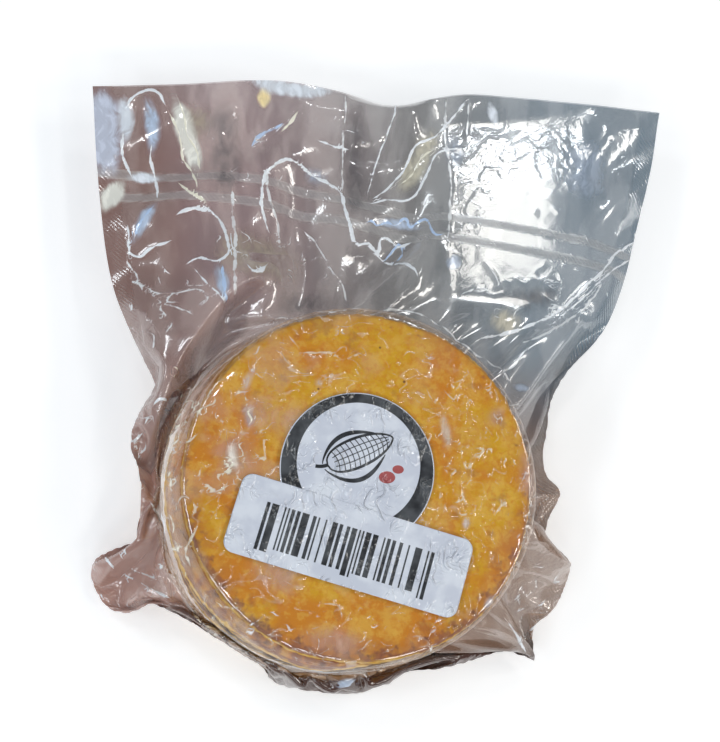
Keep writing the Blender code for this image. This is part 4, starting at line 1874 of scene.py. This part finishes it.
@dataclass(frozen=True)
class CrustFinish:
    """Sweet-corn dough toasted golden on its faces, brown along the rims and pale at the side."""

    name: str = "toasted_corn_cake"
    yellow: Colour = (0.72, 0.38, 0.006)
    orange: Colour = (0.67, 0.24, 0.008)
    pale: Colour = (0.84, 0.50, 0.075)
    toasted: Colour = (0.50, 0.17, 0.025)
    brown: Colour = (0.25, 0.075, 0.050)
    char: Colour = (0.10, 0.03, 0.018)
    crumb: Colour = (0.80, 0.50, 0.10)

    def make(self) -> Material:
        """Make the material.

        Returns:
            The cakes' material.
        """
        made, net, base = new_material(self.name)
        place = net.place()
        baked = net.node("ShaderNodeAttribute", attribute_name="baking").outputs["Color"]
        toast, edge, _ = net.parts(baked)
        x, y, _ = net.parts(place)
        to_back = net.span(net.scaled(x, 0.5, y), -35.0, 30.0, -0.07, 0.05)
        ripe = net.calc("ADD", net.noise(place, 24.0, 4.0).outputs["Fac"], to_back)
        gold = net.blend(net.span(ripe, 0.42, 0.58), self.orange, self.yellow)
        for size, low, high, detail, share, tint in (
            (9.0, 0.47, 0.62, 5.0, 0.60, self.pale),
            (2.4, 0.48, 0.62, 4.0, 0.42, self.pale),
            (1.7, 0.50, 0.66, 3.0, 0.45, self.orange),
            (7.0, 0.58, 0.72, 4.0, 0.40, self.brown),
        ):
            mask = net.times(net.lumps(place, size, low, high, detail), share)
            gold = net.blend(mask, gold, tint)
        cracks = net.times(net.ridge(place, 7.0, 0.03, 4.0), 0.35)
        gold = net.blend(cracks, gold, self.orange)
        to_front = net.span(net.scaled(x, 0.1, y), 30.0, -35.0, 0.45, 1.0)
        toasted = net.times(edge, to_front)
        baked_in = net.times(toasted, net.lumps(place, 8.0, 0.36, 0.62, 4.0))
        gold = net.blend(net.times(baked_in, 0.75), gold, self.toasted)
        rim = net.scaled(toasted, 0.45, net.noise(place, 3.2, 5.0).outputs["Fac"])
        rim = net.span(rim, 0.80, 1.02)
        gold = net.blend(net.times(rim, 0.7), gold, self.brown)
        darkest = net.times(rim, net.lumps(place, 3.0, 0.50, 0.66, 3.0))
        gold = net.blend(net.times(darkest, 0.6), gold, self.char)
        dots = net.give(net.node("ShaderNodeTexVoronoi"), {"Vector": place, "Scale": 1 / 9.0})
        chance, _, _ = net.parts(dots.outputs["Color"])
        near = net.span(dots.outputs["Distance"], 0.03, 0.07, 1.0, 0.0)
        speck = net.times(near, net.calc("LESS_THAN", chance, 0.35))
        gold = net.blend(net.times(speck, 0.8), gold, self.char)
        grooves = net.move("MULTIPLY", place, (1.0, 1.0, 0.25))
        side = net.blend(net.lumps(grooves, 1.8, 0.35, 0.65, 3.0), self.yellow, self.crumb)
        skin = net.blend(toast, side, gold)
        turning = net.times(toast, net.rest(toast))
        spotted = net.lumps(place, 4.0, 0.28, 0.50, 4.0)
        burnt = net.times(net.span(turning, 0.0, 0.10), to_front, spotted, 0.85)
        skin = net.blend(burnt, skin, self.brown)
        rough = net.span(net.lumps(place, 5.0, 0.3, 0.7, 3.0), 0.0, 1.0, 0.38, 0.62)
        grain = net.noise(place, 0.9, 3.0).outputs["Fac"]
        lumpy = net.noise(place, 3.5, 3.0).outputs["Fac"]
        height = net.scaled(grain, 0.12, net.times(lumpy, 0.35))
        shown = {"Base Color": skin, "Roughness": rough, "Normal": net.bump(height)}
        net.give(base, {**shown, "Specular IOR Level": 0.2})
        return made


# Labels.


@cache
def pressed_crinkle() -> Effect:
    """Make the fine crinkles that labels take over from the film under them.

    Returns:
        The group. Place is in millimetres. It gives Height and Shade, a soft mottle that the finishes use as
        milky clouds on the stock and as a painted grey sheen on the print.
    """
    effect = Effect("pressed_crinkle", {"Place": "Vector"}, {"Height": "Float", "Shade": "Float"})
    net, place = effect.net, effect.taken["Place"]
    twist = net.move("SUBTRACT", net.noise(place, 9.0, 1.0).outputs["Color"], (0.5, 0.5, 0.5))
    bent = net.move("MULTIPLY_ADD", twist, (10.0, 10.0, 0.0), place)
    leaning = net.move("MULTIPLY", bent, (1.0, 0.45, 0.0))
    long_lines = net.ridge(leaning, 5.0, 0.07, 1.0)
    short_lines = net.ridge(bent, 2.4, 0.08, 1.0)
    where = net.lumps(place, 9.0, 0.42, 0.60)
    height = net.times(net.scaled(short_lines, 0.14, net.times(long_lines, 0.40)), where)
    height = net.scaled(net.noise(place, 2.6, 2.0).outputs["Fac"], 0.05, height)
    effect.put(Height=height, Shade=net.lumps(place, 7.0, 0.35, 0.65, 3.0))
    return effect


@dataclass(frozen=True)
class PressedFinish:
    """Printed or plain label stock under a glossy, crinkled surface, mottled between a dark and a light
    colour: milky clouds on the stock, a painted grey sheen of reflections on the print.
    """

    name: str
    light: Colour
    dark: Colour
    gloss: float

    def make(self) -> Material:
        """Make the material.

        Returns:
            The label's or print's material.
        """
        made, net, base = new_material(self.name)
        crinkle = pressed_crinkle().place_in(net, Place=net.place())
        # The mottle mixes the dark and light colours: painted sheen on the print, milky clouds on the stock.
        colour = net.blend(crinkle["Shade"], self.dark, self.light)
        rough = net.span(crinkle["Shade"], 0.0, 1.0, self.gloss, self.gloss + 0.15)
        normal = net.bump(crinkle["Height"])
        net.give(base, {"Base Color": colour, "Roughness": rough, "Normal": normal})
        coat = {"Coat Weight": 1.0, "Coat Roughness": 0.07, "Coat IOR": 1.6, "Coat Normal": normal}
        net.give(base, coat)
        return made


@dataclass(frozen=True)
class Sticker:
    """Shared making of flat label pieces on the crinkled bed."""

    bed: LabelBed
    floor: int

    def face(self, x: Array, y: Array, lift: float = 0.0) -> Array:
        """Points on the label's face over places in plan, lifted off the paper."""
        return np.stack([x, y, self.bed.height(x, y, self.floor) + lift], -1)

    def plate(self, name: str, x: Array, y: Array, finish: Material) -> Object:
        """Make a thin plate from rings of places that grow from its middle to its edge.

        Args:
            name: Name of the piece.
            x: Places in plan, rings by points.
            y: Places in plan, rings by points.
            finish: Its material.

        Returns:
            The piece.
        """
        rings, around = x.shape
        top = self.face(x, y)
        rim = top[-1] - (0.0, 0.0, self.bed.thickness)
        middle = top[0].mean(0)
        points = np.vstack([top.reshape(-1, 3), rim, middle, middle - (0.0, 0.0, self.bed.thickness)])
        first = np.arange(around)
        after = (first + 1) % around
        low, peak = rings * around, (rings + 1) * around
        faces = [
            grid_faces(rings + 1, around, closed=True)[:, ::-1],
            np.stack([np.full(around, peak), first, after], -1),
            np.stack([np.full(around, peak + 1), low + after, low + first], -1),
        ]
        return make_mesh(name, points, faces, finish)

    def strips(self, name: str, strips: Sequence[Pair], finish: Material) -> Object:
        """Make printed marks, each a strip of places from one side to the other.

        Args:
            name: Name of the piece.
            strips: Places in plan of each mark, rows by points.
            finish: Their material.

        Returns:
            The piece.
        """
        points, faces, start = [], [], 0
        for x, y in strips:
            points.append(self.face(x, y, self.bed.print_lift).reshape(-1, 3))
            faces.append(grid_faces(*x.shape, start=start))
            start += x.size
        return make_mesh(name, np.vstack(points), [np.vstack(faces)], finish)


@dataclass(frozen=True)
class RoundLabel(Sticker):
    """Round label: a dark ring, set a little off centre, and a drawn corn cob in it."""

    ring_margin: float = 0.35
    disc_radius: float = 19.8
    disc_shift: Spot = (0.4, 1.7)
    rings: int = 52
    around: int = 260
    cob_long: float = 23.0
    cob_wide: float = 9.6
    cob_turn: float = math.radians(24.0)
    cob_middle: Spot = (0.5, 4.0)
    line: float = 0.75

    def build(self, paper: Material, ink: Material, accent: Material) -> None:
        """Make the label and its print.

        Args:
            paper: Finish of the stock.
            ink: Finish of the dark print.
            accent: Finish of the red print.
        """
        place = self.bed.round_place
        angle = np.linspace(0, 2 * math.pi, self.around, endpoint=False)
        reach = np.linspace(0, 1, self.rings + 1)[1:, None] * place.radius
        x, y = place.centre[0] + reach * np.cos(angle), place.centre[1] + reach * np.sin(angle)
        fit_in(self.plate("round_label_paper", x, y, paper), "label_paper", ROUND_LABEL)
        dark = [self.ring(), *self.cob(), *self.leaves()]
        fit_in(self.strips("round_label_print", dark, ink), "label_print", ROUND_LABEL)
        fit_in(self.strips("round_label_accent", self.berries(), accent), "label_print", ROUND_LABEL)

    def ring(self) -> Pair:
        """Places of the dark ring, from its inner to its outer edge."""
        place = self.bed.round_place
        angle = np.linspace(0, 2 * math.pi, self.around + 1)
        across = np.linspace(0, 1, 9)[:, None]
        outer = place.radius - self.ring_margin
        radius = outer + (self.disc_radius - outer) * across
        return (
            place.centre[0] + self.disc_shift[0] * across + radius * np.cos(angle),
            place.centre[1] + self.disc_shift[1] * across + radius * np.sin(angle),
        )

    def disc_middle(self) -> Spot:
        """Middle of the disc inside the ring."""
        x, y = self.bed.round_place.centre
        return x + self.disc_shift[0], y + self.disc_shift[1]

    def stroke(self, right: Array, up: Array, width: Array | float) -> Pair:
        """Widen a drawn line on the label.

        Args:
            right: Its points, from the disc's middle.
            up: Its points, from the disc's middle.
            width: Its width at each point.

        Returns:
            Places of the stroke in plan.
        """
        run_right, run_up = np.gradient(right), np.gradient(up)
        length = np.hypot(run_right, run_up) + TINY
        side = np.linspace(0.5, -0.5, 4)[:, None] * width
        x, y = self.disc_middle()
        return x + right + side * run_up / length, y + up - side * run_right / length

    def on_cob(self, along: Array, across: Array) -> Pair:
        """Turn places on the upright cob into places on the disc."""
        cosine, sine = math.cos(self.cob_turn), math.sin(self.cob_turn)
        return (
            self.cob_middle[0] + along * cosine - across * sine,
            self.cob_middle[1] + along * sine + across * cosine,
        )

    def half_width(self, along: Array) -> Array:
        """Half the cob's width along its length, round at its foot and pointed at its tip."""
        share = np.clip(along / self.cob_long + 0.5, 0, 1)
        foot = np.sqrt(np.clip(1 - (1 - share) ** 6, 0, 1))
        return self.cob_wide / 2 * foot * np.cos(share**2.2 * math.pi / 2) ** 0.7

    def cob(self) -> list[Pair]:
        """Draw the cob's outline and its rows of kernels."""
        along = np.linspace(-0.5, 0.5, 60) * self.cob_long
        wide = self.half_width(along)
        swelling = self.line * (0.7 + 0.5 * np.sin(np.linspace(0, math.pi, 60)))
        drawn = [self.stroke(*self.on_cob(along, side * wide), swelling) for side in (-1.0, 1.0)]
        drawn += [
            self.stroke(*self.on_cob(along[6:-4], share * wide[6:-4]), self.line * 0.4)
            for share in (-0.45, 0.0, 0.45)
        ]
        for middle in np.linspace(-0.38, 0.36, 11) * self.cob_long:
            half = float(self.half_width(np.array(middle)))
            bow = np.linspace(-1, 1, 17)
            row = self.on_cob(middle + 0.9 * (1 - bow**2), bow * half)
            drawn.append(self.stroke(*row, self.line * 0.4))
        return drawn

    def leaves(self) -> list[Pair]:
        """Draw the husk leaves that hold the cob."""
        step = np.linspace(0, 1, 50)
        taper = self.line * (0.35 + 1.6 * np.sin(step * math.pi) ** 0.8)
        drawn = []
        for side, lean in ((1.0, 1.0), (-1.0, 1.25)):
            along = (-0.56 + 0.86 * step) * self.cob_long
            across = side * (0.9 + self.cob_wide * 0.62 * np.sin(step**0.8 * math.pi * 0.86) * lean)
            drawn.append(self.stroke(*self.on_cob(along, across), taper))
        stem = (-0.5 - 0.16 * step) * self.cob_long
        drawn.append(self.stroke(*self.on_cob(stem, 1.2 * step**2), self.line * 1.5))
        return drawn

    def berries(self) -> list[Pair]:
        """Draw the small red drops beside the cob."""
        angle = np.linspace(0, 2 * math.pi, 40)
        reach = np.linspace(1, 0.02, 7)[:, None]
        drawn = []
        for right, up, size in ((9.0, -4.2, 2.3), (12.6, -1.6, 1.6)):
            x, y = self.disc_middle()
            wide, tall = size * 1.15 * reach, size * 0.85 * reach
            drawn.append((x + right + wide * np.cos(angle), y + up + tall * np.sin(angle)))
        return drawn


@dataclass(frozen=True)
class BarLabel(Sticker):
    """Oblong label with a row of upright bars."""

    module: float = 0.58
    modules: int = 95
    start: float = -28.5
    foot: float = -8.2
    head: float = 5.6
    guard: float = 1.4
    seed: int = 12
    rings: int = 58
    around: int = 420

    def build(self, paper: Material, ink: Material) -> None:
        """Make the label and its bars.

        Args:
            paper: Finish of the stock.
            ink: Finish of the bars.
        """
        place = self.bed.bar_place
        right, up = self.edge()
        reach = np.linspace(0, 1, self.rings + 1)[1:, None]
        x, y = place.outwards(reach * right, reach * up)
        fit_in(self.plate("bar_label_paper", x, y, paper), "label_paper", BAR_LABEL)
        fit_in(self.strips("bar_label_bars", self.bars(), ink), "label_print", BAR_LABEL)

    def edge(self) -> Pair:
        """Walk round the label's rounded corners and straight sides.

        Returns:
            Places to the right of and above its middle.
        """
        place = self.bed.bar_place
        corner_x, corner_y = place.long / 2 - place.corner, place.tall / 2 - place.corner
        turn = np.linspace(0, math.pi / 2, 10)
        right, up = [], []
        for quarter, (side_x, side_y) in enumerate(((1, 1), (-1, 1), (-1, -1), (1, -1))):
            angle = turn + quarter * math.pi / 2
            right.append(side_x * corner_x + place.corner * np.cos(angle))
            up.append(side_y * corner_y + place.corner * np.sin(angle))
        line = np.column_stack([np.concatenate(right), np.concatenate(up), np.zeros(40)])
        line = np.vstack([line, line[:1]])
        even = np.linspace(0, line_lengths(line)[-1], self.around, endpoint=False)
        walked = walk(line, even)
        return walked[:, 0], walked[:, 1]

    def bars(self) -> list[Pair]:
        """Draw bars of one to four modules, with longer guard bars at the ends and middle."""
        draws = np.random.default_rng(self.seed)
        bars, at = [], 0
        while at < self.modules:
            wide = int(draws.choice([1, 1, 1, 2, 2, 3, 4]))
            bars.append((at, min(wide, self.modules - at)))
            at += wide + int(draws.choice([1, 1, 1, 2, 2, 3]))
        middle = len(bars) // 2
        long_bars = {0, 1, middle, middle + 1, len(bars) - 2, len(bars) - 1}
        drawn = []
        for number, (at, wide) in enumerate(bars):
            foot = self.foot - self.guard * (number in long_bars)
            up = np.linspace(foot, self.head, 22)[:, None]
            left = self.start + at * self.module
            right = left + np.linspace(0, wide * self.module - 0.06, 2 + wide)
            drawn.append(self.bed.bar_place.outwards(right + 0 * up, up + 0 * right))
        return drawn


# Studio.


def aimed(place: Point, target: Point, up: Point) -> Matrix:
    """Aim a light or camera.

    Args:
        place: Where it is.
        target: What it looks at.
        up: Direction that its own up leans towards.

    Returns:
        Its matrix.
    """
    ahead = (Vector(target) - Vector(place)).normalized()
    right = ahead.cross(Vector(up)).normalized()
    turn = Matrix((right, right.cross(ahead), -ahead)).transposed().to_4x4()
    return Matrix.Translation(place) @ turn


@dataclass(frozen=True)
class SoftBox:
    """One soft light: where it hangs and what it faces, in metres, its size and power."""

    name: str
    place: Point
    target: Point
    size: Spot
    power: float
    colour: Colour
    up: Point = (0.0, 0.0, 1.0)

    def hang(self) -> None:
        """Put the light in the scene."""
        lamp = bpy.data.lights.new(self.name, "AREA")
        lamp.shape = "RECTANGLE"
        lamp.size, lamp.size_y = self.size
        lamp.energy = self.power
        lamp.color = self.colour
        made = bpy.data.objects.new(self.name, lamp)
        made.matrix_world = aimed(self.place, self.target, self.up)
        bpy.context.scene.collection.objects.link(made)


@dataclass(frozen=True)
class Studio:
    """Pale floor, soft lights and the camera over the bag."""

    boxes: tuple[SoftBox, ...] = (
        SoftBox(
            "window_top", (0.267, 0.671, 0.697), (0.065, 0.106, 0.026), (0.090, 0.054), 0.31,
            (0.93, 0.97, 1.0), (-0.05, 0.81, -0.59),
        ),
        SoftBox(
            "window_foot", (0.272, 0.608, 0.742), (0.065, 0.106, 0.026), (0.088, 0.100), 0.24,
            (1.0, 0.97, 0.91), (-0.05, 0.81, -0.59),
        ),
        SoftBox(
            "lamp_front", (-0.30, -0.22, 0.86), (0.0, 0.0, 0.05), (0.05, 0.04), 0.22,
            (1.0, 0.97, 0.92), (0.0, 1.0, 0.0),
        ),
        SoftBox(
            "lamp_right", (0.40, 0.02, 0.80), (0.0, 0.0, 0.05), (0.04, 0.05), 0.22,
            (1.0, 0.99, 0.97), (0.0, 1.0, 0.0),
        ),
        SoftBox(
            "lamp_back", (-0.12, 0.30, 0.86), (0.0, 0.0, 0.05), (0.05, 0.03), 0.20,
            (0.95, 0.98, 1.0), (0.0, 1.0, 0.0),
        ),
    )
    ring_count: int = 7
    ring_start: float = 140.0
    ring_step: float = 40.0
    ring_radius: float = 0.72
    ring_height: float = 0.72
    ring_size: Spot = (0.30, 0.12)
    ring_target: Point = (0.0, 0.03, 0.03)
    warm: Colour = (1.0, 0.97, 0.92)
    cool: Colour = (0.88, 0.95, 1.0)
    ring_power: float = 1.17
    sky: Colour = (0.155, 0.175, 0.20)
    camera_place: Point = (-0.0515, -0.0599, 0.4433)
    camera_target: Point = (0.0078, 0.0428, 0.030)
    lens: float = 61.05
    floor_half: float = 3.0

    def build(self) -> None:
        """Make the floor, lights, surroundings and camera."""
        self.lay_floor()
        for box in (*self.boxes, *self.ring()):
            box.hang()
        world = bpy.data.worlds.new("soft_room")
        world.use_nodes = True
        world.node_tree.nodes["Background"].inputs["Color"].default_value = (*self.sky, 1.0)
        bpy.context.scene.world = world
        self.set_camera()
        scene = bpy.context.scene
        scene.view_settings.view_transform = "Standard"
        scene.cycles.transparent_max_bounces = 24

    def ring(self) -> list[SoftBox]:
        """Soft panels round the bag but for its mouth, cool on the left and warm on the right."""
        panels = []
        for number in range(self.ring_count):
            angle = math.radians(self.ring_start + self.ring_step * number)
            right, ahead = self.ring_radius * math.cos(angle), self.ring_radius * math.sin(angle)
            name, place = f"panel_{number + 1}", (right, ahead, self.ring_height)
            colour = self.warm if right > 0 else self.cool
            panels.append(SoftBox(name, place, self.ring_target, self.ring_size, self.ring_power, colour))
        return panels

    def lay_floor(self) -> None:
        """Lay the pale floor under the bag."""
        corners = np.array([(-1, -1, 0), (1, -1, 0), (1, 1, 0), (-1, 1, 0)]) * self.floor_half / MM
        made, net, base = new_material("pale_floor")
        shade = net.lumps(net.place(), 90.0, 0.3, 0.7)
        colour = net.blend(shade, (0.90, 0.90, 0.90), (0.92, 0.92, 0.92))
        glow = {"Emission Color": (1.0, 1.0, 1.0), "Emission Strength": 0.35}
        net.give(base, {"Base Color": colour, "Roughness": 0.8, **glow})
        make_mesh("floor", corners, [np.array([[0, 1, 2, 3]])], made)

    def set_camera(self) -> None:
        """Aim the camera with the bag's mouth at the top of the picture."""
        camera = bpy.data.cameras.new("camera")
        camera.lens = self.lens
        made = bpy.data.objects.new("camera", camera)
        made.matrix_world = aimed(self.camera_place, self.camera_target, (0.0, 1.0, 0.0))
        bpy.context.scene.collection.objects.link(made)
        bpy.context.scene.camera = made


# The whole bag.


def main() -> None:
    """Build every piece in order."""
    logging.basicConfig(level=logging.INFO, format="%(name)s: %(message)s", stream=sys.stdout)
    stack, cut, bed = CakeStack(), FlatCut(), LabelBed.from_frame()
    Studio().build()

    crust = CrustFinish().make()
    for level, place in enumerate(stack.places):
        top = level == len(stack.places) - 1
        CornCake(place, level, stack, 0.9 if top else 2.2, 360 if top else 240).build(crust)

    stages = 3
    formed = FilmForming(stack, BagOutline(), cut).form(stages)
    flat = cut.grid(stages - 1)
    FilmPiece(Layer.UPPER, 331, 261, cut, stack, bed).build(formed[0], flat, FilmFinish("clear_film_upper"))
    FilmPiece(Layer.LOWER, 265, 209, cut, stack, bed).build(formed[1], flat, FilmFinish("clear_film_lower"))

    # The stock's bluish white is partly its own colour and partly a painted reflection of the cool sky.
    paper = PressedFinish("label_stock", (0.80, 0.83, 0.90), (0.67, 0.70, 0.79), 0.35).make()
    # The print's lighter grey is a painted sheen of reflections on the dark ink.
    ink = PressedFinish("dark_print", (0.070, 0.075, 0.082), (0.012, 0.012, 0.014), 0.3).make()
    accent = PressedFinish("red_print", (0.50, 0.11, 0.10), (0.42, 0.08, 0.08), 0.35).make()
    RoundLabel(bed, 0).build(paper, ink, accent)
    BarLabel(bed, 1).build(paper, ink)


if __name__ == "__main__":
    main()
